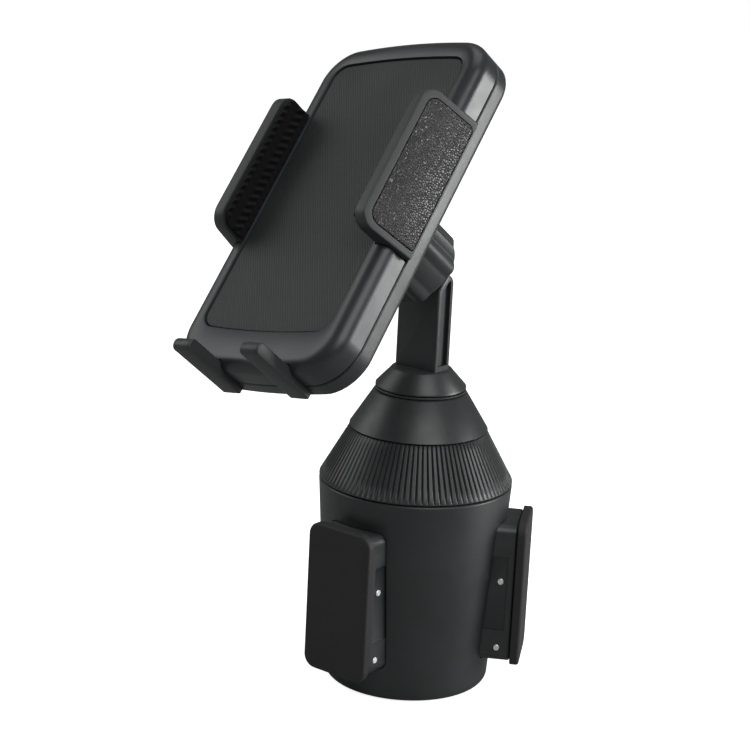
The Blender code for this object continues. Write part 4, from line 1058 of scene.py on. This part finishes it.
@dataclass
class BallSocket:
    """Socket cup, its liners and the lobed lock nut."""

    ball_radius: float = 7.5 * MM
    liner: float = 0.9 * MM
    wall: float = 1.3 * MM
    lip: float = 3.0 * MM
    flange_radius: float = 17.0 * MM
    flange: float = 2.0 * MM
    flange_top: float = 22.9 * MM
    screw_circle: float = 14.5 * MM
    nut_front: float = 11.0 * MM
    nut_back: float = 8.8 * MM
    nut_wall: float = 2.4 * MM
    lobe: float = 1.3 * MM
    lobes: int = 6
    mouth: float = 6.1 * MM
    mouth_flare: float = 1.5 * MM

    def build(self) -> None:
        """Build the socket's pieces."""
        Maker("cradle", CRADLE).publish("ball_socket", self._socket(), NYLON, "socket_cup")
        Maker("lock_nut", CRADLE, 30.0).publish("lobed_lock_nut", self._nut(), MATTE, "lock_nut")
        Maker("ball_pan", STUD).publish("rear_liner_ring", self._liner(38, 72), NYLON, "liner_rear")
        Maker("ball_tilt", CRADLE).publish("front_liner_ring", self._liner(118, 165), NYLON, "liner_front")
        outward = CRADLE.to_3x3() @ Vector((0, 0, 1))
        for number, side in ((1, -1), (2, 1)):
            foot = self.flange_top - self.flange - GAP - PanScrew().head_height
            place = CRADLE @ Vector((side * self.screw_circle, 0, foot))
            publish_screw("cradle", f"socket_screw_{number}", outward, place)

    def _liner(self, start: float, end: float) -> Shape:
        """Zone of a hollow sphere between two angles from the -Z pole, in degrees."""
        inner = self.ball_radius + GAP
        first, last = radians(start) - pi / 2, radians(end) - pi / 2
        return turned(arc(inner, first, last, 12) + arc(inner + self.liner, last, first, 12), 96)

    def _socket(self) -> Shape:
        """Hollow socket on a flange with two screw holes."""
        inner = self.ball_radius + self.liner + 2 * GAP
        outer = inner + self.wall
        start = -asin(self.lip / inner)
        cavity = arc(inner, start, pi / 2, 24)[:-1] + [(0, inner)]
        low, rim = self.flange_top - self.flange, 0.35 * MM
        profile = cavity + [(0, self.flange_top), (self.flange_radius - rim, self.flange_top),
                            (self.flange_radius, self.flange_top - rim), (self.flange_radius, low + rim),
                            (self.flange_radius - rim, low), (outer + 0.8 * MM, low), (outer, low - 0.8 * MM),
                            (outer, -self.lip)]
        holes = [placed(rod(1.5 * MM, low - GAP, self.flange_top + GAP, 0.0, 32),
                        Matrix.Translation((side * self.screw_circle, 0, 0))) for side in (-1, 1)]
        return combined(turned(profile, 128), cuts=holes)

    def _nut_outline(self, draw_in: float) -> Outline:
        """Lobed outline of the nut with fine grip ribs on three of the faces between the lobes.

        Args:
            draw_in: How far the outline is drawn in.

        Returns:
            The points.
        """
        body = self.ball_radius + self.liner + 2 * GAP + self.wall + GAP + self.nut_wall
        count = self.lobes * 40
        points = []
        for step in range(count):
            turn = 2 * pi * step / count
            lobe = max(0.0, cos(self.lobes * turn)) ** 1.4
            face = floor(self.lobes * turn / (2 * pi))
            ribbed = face % 2 == 0 and cos(self.lobes * turn) < -0.25
            rib = 0.28 * MM * (step % 2) if ribbed and draw_in < 0.5 * MM else 0.0
            radius = body + self.lobe * lobe - rib - draw_in * (1 + 0.6 * lobe)
            points.append((radius * cos(turn), radius * sin(turn)))
        return points

    def _nut(self) -> Shape:
        """Lobed nut with rounded ends and a flared mouth round the stud."""
        round_off = 1.5 * MM
        levels = []
        for step in range(6):
            turn = pi / 2 * step / 5
            levels.append((self._nut_outline(round_off * (1 - sin(turn))),
                           -self.nut_back + round_off * (1 - cos(turn))))
        for step in range(6):
            turn = pi / 2 * step / 5
            levels.append((self._nut_outline(round_off * 0.5 * (1 - cos(turn))),
                           self.nut_front - round_off * 0.5 * (1 - sin(turn))))
        bore = self.ball_radius + self.liner + 2 * GAP + self.wall + GAP
        mouth_floor = 1.6 * MM - self.nut_back
        hollow = [(0, -self.nut_back - GAP), (self.mouth + self.mouth_flare, -self.nut_back - GAP),
                  (self.mouth, mouth_floor), (bore, -self.lip - 1 * MM), (bore, self.nut_front + GAP),
                  (0, self.nut_front + GAP)]
        return combined(loft(levels), cuts=[turned(hollow, 96)])


# ------------------------------------------------------------------ cradle

@dataclass
class Cradle:
    """Front and back shells with the rubber pad between the jaws."""

    body: str = "cradle"
    width: float = 72.0 * MM
    length: float = 121.6 * MM
    corner: float = 12.0 * MM
    bow: float = 2.4 * MM
    shell_drop: float = -5.4 * MM
    phone_drop: float = -1.6 * MM
    pad_drop: float = -2.8 * MM
    pad_face: float = 38.5 * MM
    border_proud: float = 0.6 * MM
    border_round: float = 4.5 * MM
    front_depth: float = 9.6 * MM
    back_depth: float = 6.0 * MM
    wall: float = 2.0 * MM
    pad_width: float = 57.9 * MM
    pad_length: float = 101.8 * MM
    pad_bow: float = 1.4 * MM
    pad_corner: float = 5.0 * MM
    pad_thickness: float = 1.5 * MM
    pad_floor: float = 2.2 * MM
    screw_spacing: float = 94.0 * MM
    seam_chamfer: float = 0.35 * MM
    jaw_span: float = 63.2 * MM
    jaw_lean: float = 1.6 * MM
    jaw_length: float = 51.0 * MM
    jaw_middle: float = 2.8 * MM

    @property
    def seam(self) -> float:
        """Height of the joint between the shells."""
        return self.pad_face + self.border_proud - self.front_depth

    @property
    def back_face(self) -> float:
        """Height of the back shell's outer face."""
        return self.seam - GAP - self.back_depth

    @property
    def cavity_floor(self) -> float:
        """Height of the back shell's inner face."""
        return self.back_face + self.wall

    @property
    def cavity_roof(self) -> float:
        """Height of the front shell's inner face."""
        return self.pad_face - self.pad_thickness - GAP - self.pad_floor

    def build(self) -> None:
        """Build the cradle's fixed pieces."""
        maker = Maker(self.body, CRADLE, 32.0)
        maker.publish("cradle_border", self._front(), BORDER, "cradle_front_shell")
        maker.publish("cradle_rear_cover", self._back(), SATIN, "cradle_back_shell")
        maker.publish("phone_pad", self._pad(), PAD_RUBBER, "cradle_pad")
        outward = CRADLE.to_3x3() @ Vector((0, 0, 1))
        for number, side in ((1, 1), (2, -1)):
            foot = self.back_face - GAP - PanScrew().head_height
            place = CRADLE @ Vector((0, self.shell_drop + side * self.screw_spacing / 2, foot))
            publish_screw(self.body, f"shell_screw_{number}", outward, place)
        dress_node("jaw_spring", STEEL)
        dress_node("pinion", NYLON)

    def _outline(self, inset: float) -> Outline:
        """Outline of the shells, drawn in by an inset."""
        return rounded_outline(self.width - 2 * inset, self.length - 2 * inset, (self.corner - inset,),
                               self.bow,
                               self.shell_drop)

    def _pad_outline(self, grow: float) -> Outline:
        """Outline of the pad, grown by a margin."""
        return rounded_outline(self.pad_width + 2 * grow, self.pad_length + 2 * grow,
                               (self.pad_corner + grow,),
                               self.pad_bow, self.pad_drop)

    def _foot_notch(self, side: int, low: float, high: float) -> Shape:
        """Room for the finger of one foot between two heights."""
        inner = self.shell_drop - self.length / 2 - self.bow + Foot.inset
        middle, half = side * Foot.spacing / 2, Foot.width / 2 + GAP
        return block((middle - half, inner - 2 * Foot.inset, low), (middle + half, inner, high))

    def _boss(self, y: float) -> Shape:
        """Screw boss under the front shell at a place along Y."""
        bore, low, high = 1.5 * MM, self.cavity_floor + GAP, self.cavity_roof
        profile = [(bore, low), (2.8 * MM, low), (2.8 * MM, high + self.pad_floor / 2),
                   (0, high + self.pad_floor / 2), (0, high - 1 * MM), (bore, high - 1 * MM)]
        return placed(turned(profile, 32), Matrix.Translation((0, y, 0)))

    def _front(self) -> Shape:
        """Front shell with its rounded border, the pad's pocket and a notch for each jaw."""
        top = self.pad_face + self.border_proud
        chamfer = self.seam_chamfer
        levels = [(self._outline(self.wall), self.cavity_roof), (self._outline(self.wall), self.seam),
                  (self._outline(chamfer), self.seam), (self._outline(0.0), self.seam + chamfer)]
        for step in range(11):
            turn = pi / 2 * step / 10
            levels.append((self._outline(self.border_round * (1 - cos(turn))),
                           top - self.border_round * (1 - sin(turn))))
        lip = 0.35 * MM
        levels += [(self._pad_outline(GAP + lip), top), (self._pad_outline(GAP + lip * 0.3), top - lip * 0.3),
                   (self._pad_outline(GAP), top - lip),
                   (self._pad_outline(GAP), self.pad_face - self.pad_thickness - GAP)]
        notches = []
        for side in (-1, 1):
            near, far = sorted((side * (self.jaw_span / 2 - self.jaw_lean / 2 - GAP), side * self.width))
            notches.append(block((near, self.jaw_middle - self.jaw_length / 2 - GAP, self.seam - GAP),
                                 (far, self.jaw_middle + self.jaw_length / 2 + GAP, top + 5 * MM)))
            notches.append(self._foot_notch(side, self.seam - GAP, top + 5 * MM))
        bosses = [self._boss(self.shell_drop + side * self.screw_spacing / 2) for side in (-1, 1)]
        return combined(loft(levels), bosses, notches)

    def _pad(self) -> Shape:
        """Rubber pad with a soft edge."""
        edge = 0.4 * MM
        levels = [(self._pad_outline(-0.1 * MM), self.pad_face - self.pad_thickness),
                  (self._pad_outline(0.0), self.pad_face - self.pad_thickness + 0.1 * MM)]
        for step in range(5):
            turn = pi / 2 * step / 4
            levels.append((self._pad_outline(edge * (cos(turn) - 1)), self.pad_face - edge * (1 - sin(turn))))
        return loft(levels)

    def _back(self) -> Shape:
        """Back shell with a rounded rim, posts for the drive, a panel line and the openings of its pieces."""
        round_off, chamfer = 2.2 * MM, self.seam_chamfer
        levels = []
        for step in range(8):
            turn = pi / 2 * step / 7
            levels.append((self._outline(round_off * (1 - sin(turn))),
                           self.back_face + round_off * (1 - cos(turn))))
        levels += [(self._outline(0.0), self.seam - GAP - chamfer), (self._outline(chamfer), self.seam - GAP),
                   (self._outline(self.wall), self.seam - GAP), (self._outline(self.wall), self.cavity_floor)]
        pivot = CRADLE.inverted() @ Vector(JOINTS["release_pawl_swing"]["pos_m"])
        tongue_low = self.pad_face - 8.6 * MM
        posts = [placed(rod(1.3 * MM, self.cavity_floor - self.wall / 2, self.cavity_roof - 2 * GAP,
                            0.2 * MM),
                        Matrix.Translation((0, self.jaw_middle, 0))),
                 placed(rod(1.2 * MM, self.cavity_floor - self.wall / 2, tongue_low - GAP, 0.2 * MM),
                        Matrix.Translation((pivot.x, pivot.y, 0)))]
        return combined(loft(levels), posts, self._back_cuts())

    def _back_cuts(self) -> list[Shape]:
        """Screw holes, the button's window, the feet's slots and the panel line of the back shell."""
        low, floor_at = self.back_face, self.cavity_floor
        holes = [(0.0, self.shell_drop + self.screw_spacing / 2),
                 (0.0, self.shell_drop - self.screw_spacing / 2),
                 (-14.5 * MM, 0.0), (14.5 * MM, 0.0)]
        cuts = [placed(rod(1.5 * MM, low - GAP, floor_at + GAP, 0.0, 32), Matrix.Translation((x, y, 0)))
                for x, y in holes]
        inner_end = self.shell_drop - self.length / 2 - self.bow + Foot.inset
        for side in (-1, 1):
            cuts.append(self._foot_notch(side, floor_at, self.seam))
            x = side * Foot.spacing / 2
            half = Foot.width / 2 + GAP
            cuts.append(block((x - half, inner_end - 1 * MM, floor_at),
                              (x + half, inner_end + 6 * MM, floor_at + Foot.leg_height + 2 * GAP)))
        middle, half = ReleaseButton.middle + self.phone_drop, ReleaseButton.length / 2 + GAP
        cuts.append(block((-self.width / 2 - 1 * MM, middle - half, floor_at),
                          (1 * MM + self.wall - self.width / 2, middle + half,
                           floor_at + ReleaseButton.height + 2 * GAP)))
        line, depth = 0.8 * MM, 0.4 * MM
        outer, inner = self._outline(9 * MM), self._outline(9 * MM + line)
        cuts.append(combined(prism(outer, low - 1 * MM, low + depth),
                             cuts=[prism(inner, low - 2 * MM, low + 1 * MM)]))
        return cuts


@dataclass
class Foot:
    """Pull-out foot with a ribbed finger."""

    side: int
    label: str
    spacing: float = 31.0 * MM
    width: float = 8.0 * MM
    thickness: float = 4.2 * MM
    inset: float = 2.8 * MM
    reach: float = 13.0 * MM
    leg: float = 20.0 * MM
    leg_height: float = 2.4 * MM

    def build(self, cradle: Cradle) -> None:
        """Build the foot.

        Args:
            cradle: The cradle it slides in.
        """
        low = cradle.cavity_floor + GAP
        outer = cradle.shell_drop - cradle.length / 2 - cradle.bow + self.inset - GAP
        tip = cradle.pad_face + self.reach
        back = outer - self.thickness
        rounding = arc(1.7 * MM, 0.0, pi, 8, (outer - self.thickness / 2, tip - 1.7 * MM))
        rounding = [(outer - self.thickness / 2 + (x - outer + self.thickness / 2) * self.thickness /
                     (3.4 * MM), y)
                    for x, y in rounding]
        outline = [(back, low), (outer + self.leg, low), (outer + self.leg, low + self.leg_height),
                   (outer, low + self.leg_height)] + rounding
        body = softened(prism(outline, -self.width / 2, self.width / 2), 0.6 * MM, 3, 50.0)
        grooves = []
        for step in range(5):
            height = cradle.pad_face + 2 * MM + step * 1.9 * MM
            grooves.append(block((outer - 0.35 * MM, height, -self.width), (outer + 1 * MM, height + 0.8 * MM,
                                                                            self.width)))
        x = self.side * self.spacing / 2
        turn = Matrix.Translation((x, 0, 0)) @ UPRIGHT
        Maker(f"foot_{self.label}", CRADLE @ turn).publish(f"foot_{self.label}_finger",
                                                          combined(body, cuts=grooves), MATTE,
                                                          f"foot_{self.label}")


@dataclass
class ReleaseButton:
    """Side button with grip ribs, and the pawl that it turns."""

    length: float = 12.0 * MM
    depth: float = 12.0 * MM
    height: float = 2.8 * MM
    proud: float = 1.5 * MM
    nose: float = 3.0 * MM
    middle: float = -30.0 * MM

    def build(self, cradle: Cradle) -> None:
        """Build the button and dress the pawl.

        Args:
            cradle: The cradle it slides in.
        """
        low = cradle.cavity_floor + GAP
        outer = -cradle.width / 2 - self.proud
        middle = self.middle + cradle.phone_drop
        top, bottom = middle + self.length / 2, middle - self.length / 2
        shoulder, far = outer + self.depth * 0.45, outer + self.depth
        outline = [(outer, bottom), (shoulder, bottom), (shoulder, top - self.nose), (far, top - self.nose),
                   (far, top), (outer, top)]
        body = softened(prism(outline, low, low + self.height), 0.45 * MM, 3, 50.0)
        ribs = [block((outer - 1 * MM, middle + (step - 2) * 2 * MM - 0.4 * MM, low - 1 * MM),
                      (outer + 0.35 * MM, middle + (step - 2) * 2 * MM + 0.4 * MM,
                       low + self.height + 1 * MM))
                for step in range(5)]
        Maker("release_button", CRADLE).publish("release_key", combined(body, cuts=ribs), MATTE,
                                                "release_button")
        dress_node("release_pawl", NYLON)


@dataclass
class Jaw:
    """Clamping jaw: rounded frame with its rack tongue, pebbled inlay and ribbed grip."""

    side: int
    label: str
    base_thickness: float = 7.4 * MM
    tip_thickness: float = 4.2 * MM
    tip: float = 13.0 * MM
    foot: float = -8.6 * MM
    foot_relief: float = 0.5 * MM
    tip_corner: float = 5.5 * MM
    edge_round: float = 0.7 * MM
    inlay_margin: float = 2.6 * MM
    inlay_foot: float = 1.5 * MM
    inlay: float = 0.9 * MM
    grip: float = 1.4 * MM
    rib_pitch: float = 2.9 * MM
    rib_depth: float = 0.75 * MM
    tongue_width: float = 8.0 * MM
    tongue: float = 2.6 * MM
    tongue_overlap: float = 20.0 * MM
    pinion_radius: float = 4.5 * MM

    def build(self, cradle: Cradle) -> None:
        """Build the jaw's three pieces.

        Args:
            cradle: The cradle it slides in.
        """
        body = f"jaw_{self.label}"
        stand = Matrix(((0, 0, self.side, 0), (1, 0, 0, cradle.jaw_middle), (0, 1, 0, cradle.pad_face),
                        (0, 0, 0, 1)))
        maker = Maker(body, CRADLE @ stand, 32.0)
        maker.publish(f"{body}_frame", self._frame(cradle), MATTE, body)
        maker.publish(f"{body}_leather", self._inlay(cradle, 0.0, self.inlay, -self.inlay + 0.2 * MM),
                      LEATHER,
                      f"{body}_inlay")
        maker.publish(f"{body}_ribs", self._grip(cradle), GRIP_RUBBER, f"{body}_grip")

    def _inner(self, cradle: Cradle, height: float) -> float:
        """Distance of the jaw's inner face from the middle at a height."""
        return cradle.jaw_span / 2 - cradle.jaw_lean * (height - self.foot) / (self.tip - self.foot)

    def _outer(self, cradle: Cradle, height: float) -> float:
        """Distance of the jaw's outer face from the middle at a height."""
        share = (height - self.foot) / (self.tip - self.foot)
        thick = self.base_thickness + (self.tip_thickness - self.base_thickness) * share
        return self._inner(cradle, height) + thick

    def _frame(self, cradle: Cradle) -> Shape:
        """Leaning plate with rounded tip corners, its tongue and the inlay's pocket."""
        height = self.tip - self.foot - self.foot_relief
        corners = (self.tip_corner, self.tip_corner, 0.5 * MM, 0.5 * MM)
        outline = rounded_outline(cradle.jaw_length, height, corners, 0.0,
                                  (self.tip + self.foot + self.foot_relief) / 2, 8, 4)
        plate = softened(prism(outline, 0.0, 1.0 * self.base_thickness), self.edge_round, 4, 60.0)
        for vert in plate.verts:
            share = vert.co.z / self.base_thickness
            inner, outer = self._inner(cradle, vert.co.y), self._outer(cradle, vert.co.y)
            vert.co.z = inner + (outer - inner) * share
        tongue_y = self.side * (self.pinion_radius + GAP + self.tongue_width / 2)
        near, far = sorted((-self.tongue_overlap, cradle.jaw_span / 2 + 2 * MM))
        tongue = block((tongue_y - self.tongue_width / 2, self.foot + GAP, near),
                       (tongue_y + self.tongue_width / 2, self.foot + self.tongue, far))
        pocket = self._inlay(cradle, GAP, 4 * MM, -self.inlay - GAP)
        return combined(plate, [tongue], [pocket])

    def _inlay(self, cradle: Cradle, grow: float, thickness: float, sink: float) -> Shape:
        """Slab that lies in the outer face.

        Args:
            cradle: The cradle.
            grow: Margin added to its outline.
            thickness: Its thickness.
            sink: Height of its back over the jaw's outer face.

        Returns:
            The slab.
        """
        height = self.tip - self.foot - self.inlay_margin - self.inlay_foot
        corners = (3.6 * MM + grow, 3.6 * MM + grow, 0.8 * MM + grow, 1.8 * MM + grow)
        edge = 0.3 * MM if not grow else 0.0
        levels = [(0.0, 0.0), (0.0, thickness - edge)]
        if edge:
            levels += [(edge * 0.3, thickness - edge * 0.3), (edge, thickness)]
        rings = [(rounded_outline(cradle.jaw_length - 2 * self.inlay_margin + 2 * (grow - inset),
                                  height + 2 * (grow - inset), tuple(c - inset for c in corners), 0.0,
                                  (self.tip + self.foot - self.inlay_margin + self.inlay_foot) / 2, 8, 8),
                  rise)
                 for inset, rise in levels]
        slab = loft(rings)
        for vert in slab.verts:
            vert.co.z += self._outer(cradle, vert.co.y) + sink
        return slab

    def _grip(self, cradle: Cradle) -> Shape:
        """Rubber strip with zig-zag ribs across its inner face."""
        half_length, low, high = cradle.jaw_length / 2 - 1 * MM, 1.2 * MM, self.tip - 1.2 * MM
        shape = bmesh.new()
        bmesh.ops.create_grid(shape, x_segments=216, y_segments=40, size=0.5)
        faces = list(shape.faces)
        raised = bmesh.ops.extrude_face_region(shape, geom=faces)["geom"]
        backs = {item for item in raised if isinstance(item, bmesh.types.BMVert)}
        corner = self.tip_corner - 1 * MM
        for vert in shape.verts:
            along = vert.co.x * 2 * half_length
            share = vert.co.y + 0.5
            edge = max(0.0, abs(along) - (half_length - corner))
            top = high - corner + max(corner ** 2 - edge ** 2, 0.0) ** 0.5
            height = low + (top - low) * share
            back = self._inner(cradle, height) - GAP
            zig = abs((height / (3.3 * MM)) % 2 - 1) * 2.0 * MM
            phase = ((along + zig) / self.rib_pitch) % 1.0
            rib = self.rib_depth * (1 - abs(2 * phase - 1))
            vert.co = (along, height, back if vert in backs else back - self.grip + self.rib_depth - rib)
        return shape


# ------------------------------------------------------------------ stage

@dataclass
class Studio:
    """Pale floor, soft lights and the camera."""

    azimuth: float = radians(37.0)
    elevation: float = radians(14.6)
    roll: float = radians(3.2)
    distance: float = 0.700
    target: tuple[float, float, float] = (0.0, 0.0, 0.105)
    lens: float = 101.0
    shift_x: float = -0.0617
    shift_y: float = 0.0027
    room_light: float = 0.15
    floor_glow: float = 0.85

    def build(self) -> None:
        """Set the floor, the lights and the camera."""
        self._floor()
        self._world()
        self._light("key_softbox", (0.75, -0.45, 0.95), 0.8, 7.0)
        self._light("side_softbox", (0.95, 0.70, 0.30), 0.5, 11.0)
        self._light("left_softbox", (-1.0, -0.45, 0.65), 0.8, 4.0)
        self._light("top_softbox", (-0.1, 0.25, 1.25), 0.8, 3.0)
        self._camera()

    def _floor(self) -> None:
        """Lay a wide pale floor under the mount."""
        shape = bmesh.new()
        bmesh.ops.create_grid(shape, x_segments=1, y_segments=1, size=12.0)
        bmesh.ops.translate(shape, verts=shape.verts, vec=(0, 0, -0.2 * MM))
        floor_plane = as_object("pale_floor", shape)
        paint = bpy.data.materials.new("pale_floor_paint")
        paint.use_nodes = True
        shader = paint.node_tree.nodes["Principled BSDF"]
        shader.inputs["Roughness"].default_value = 0.8
        board = NodeBoard(paint.node_tree)
        seen = board.add("LightPath").outputs["Is Camera Ray"]
        tone = board.mix(seen, (0.40, 0.40, 0.40, 1.0), (0.93, 0.93, 0.93, 1.0))
        paint.node_tree.links.new(tone, shader.inputs["Base Color"])
        shader.inputs["Emission Color"].default_value = (1.0, 1.0, 1.0, 1.0)
        paint.node_tree.links.new(board.math("MULTIPLY", seen, self.floor_glow),
                                  shader.inputs["Emission Strength"])
        floor_plane.data.materials.append(paint)

    def _world(self) -> None:
        """Fill the room with even white light."""
        world = bpy.data.worlds.new("studio_world")
        world.use_nodes = True
        board = NodeBoard(world.node_tree)
        seen = board.add("LightPath").outputs["Is Camera Ray"]
        background = world.node_tree.nodes["Background"]
        background.inputs["Color"].default_value = (1.0, 1.0, 1.0, 1.0)
        strength = board.math("MULTIPLY_ADD", seen, 1.0 - self.room_light, self.room_light)
        world.node_tree.links.new(strength, background.inputs["Strength"])
        bpy.context.scene.world = world
        bpy.context.scene.view_settings.view_transform = "Standard"

    def _light(self, name: str, place: tuple[float, float, float], size: float, power: float) -> None:
        """Hang a square softbox that looks at the mount.

        Args:
            name: Its name.
            place: Its centre.
            size: Its side.
            power: Its power in watts.
        """
        lamp = bpy.data.lights.new(name, "AREA")
        lamp.shape = "SQUARE"
        lamp.size = size
        lamp.energy = power
        made = bpy.data.objects.new(name, lamp)
        bpy.context.scene.collection.objects.link(made)
        made.location = place
        made.rotation_euler = (Vector(place) - Vector(self.target)).to_track_quat("Z", "Y").to_euler()

    def _camera(self) -> None:
        """Aim the camera at the mount."""
        towards = Vector((sin(self.azimuth) * cos(self.elevation), -cos(self.azimuth) * cos(self.elevation),
                          sin(self.elevation)))
        level = Vector((cos(self.azimuth), sin(self.azimuth), 0.0))
        rising = towards.cross(level)
        right = cos(self.roll) * level + sin(self.roll) * rising
        place = frame_from_axes(right, towards, Vector(self.target) + self.distance * towards)
        lens = bpy.data.cameras.new("product_camera")
        lens.lens = self.lens
        lens.sensor_width = 36.0
        lens.shift_x, lens.shift_y = self.shift_x, self.shift_y
        lens.clip_end = 50.0
        camera = bpy.data.objects.new("product_camera", lens)
        bpy.context.scene.collection.objects.link(camera)
        camera.matrix_world = place
        bpy.context.scene.camera = camera


def main() -> None:
    """Build the whole mount and its stage."""
    logging.basicConfig(level=logging.INFO, format="%(message)s")
    Base().build()
    Collar().build()
    dress_node("traveller", NYLON)
    for number in (1, 2, 3):
        Wing(number).build()
    Arm().build()
    BallSocket().build()
    cradle = Cradle()
    cradle.build()
    for side, label in ((-1, "left"), (1, "right")):
        Jaw(side, label).build(cradle)
        Foot(side, label).build(cradle)
    ReleaseButton().build(cradle)
    Studio().build()


if __name__ == "__main__":
    main()
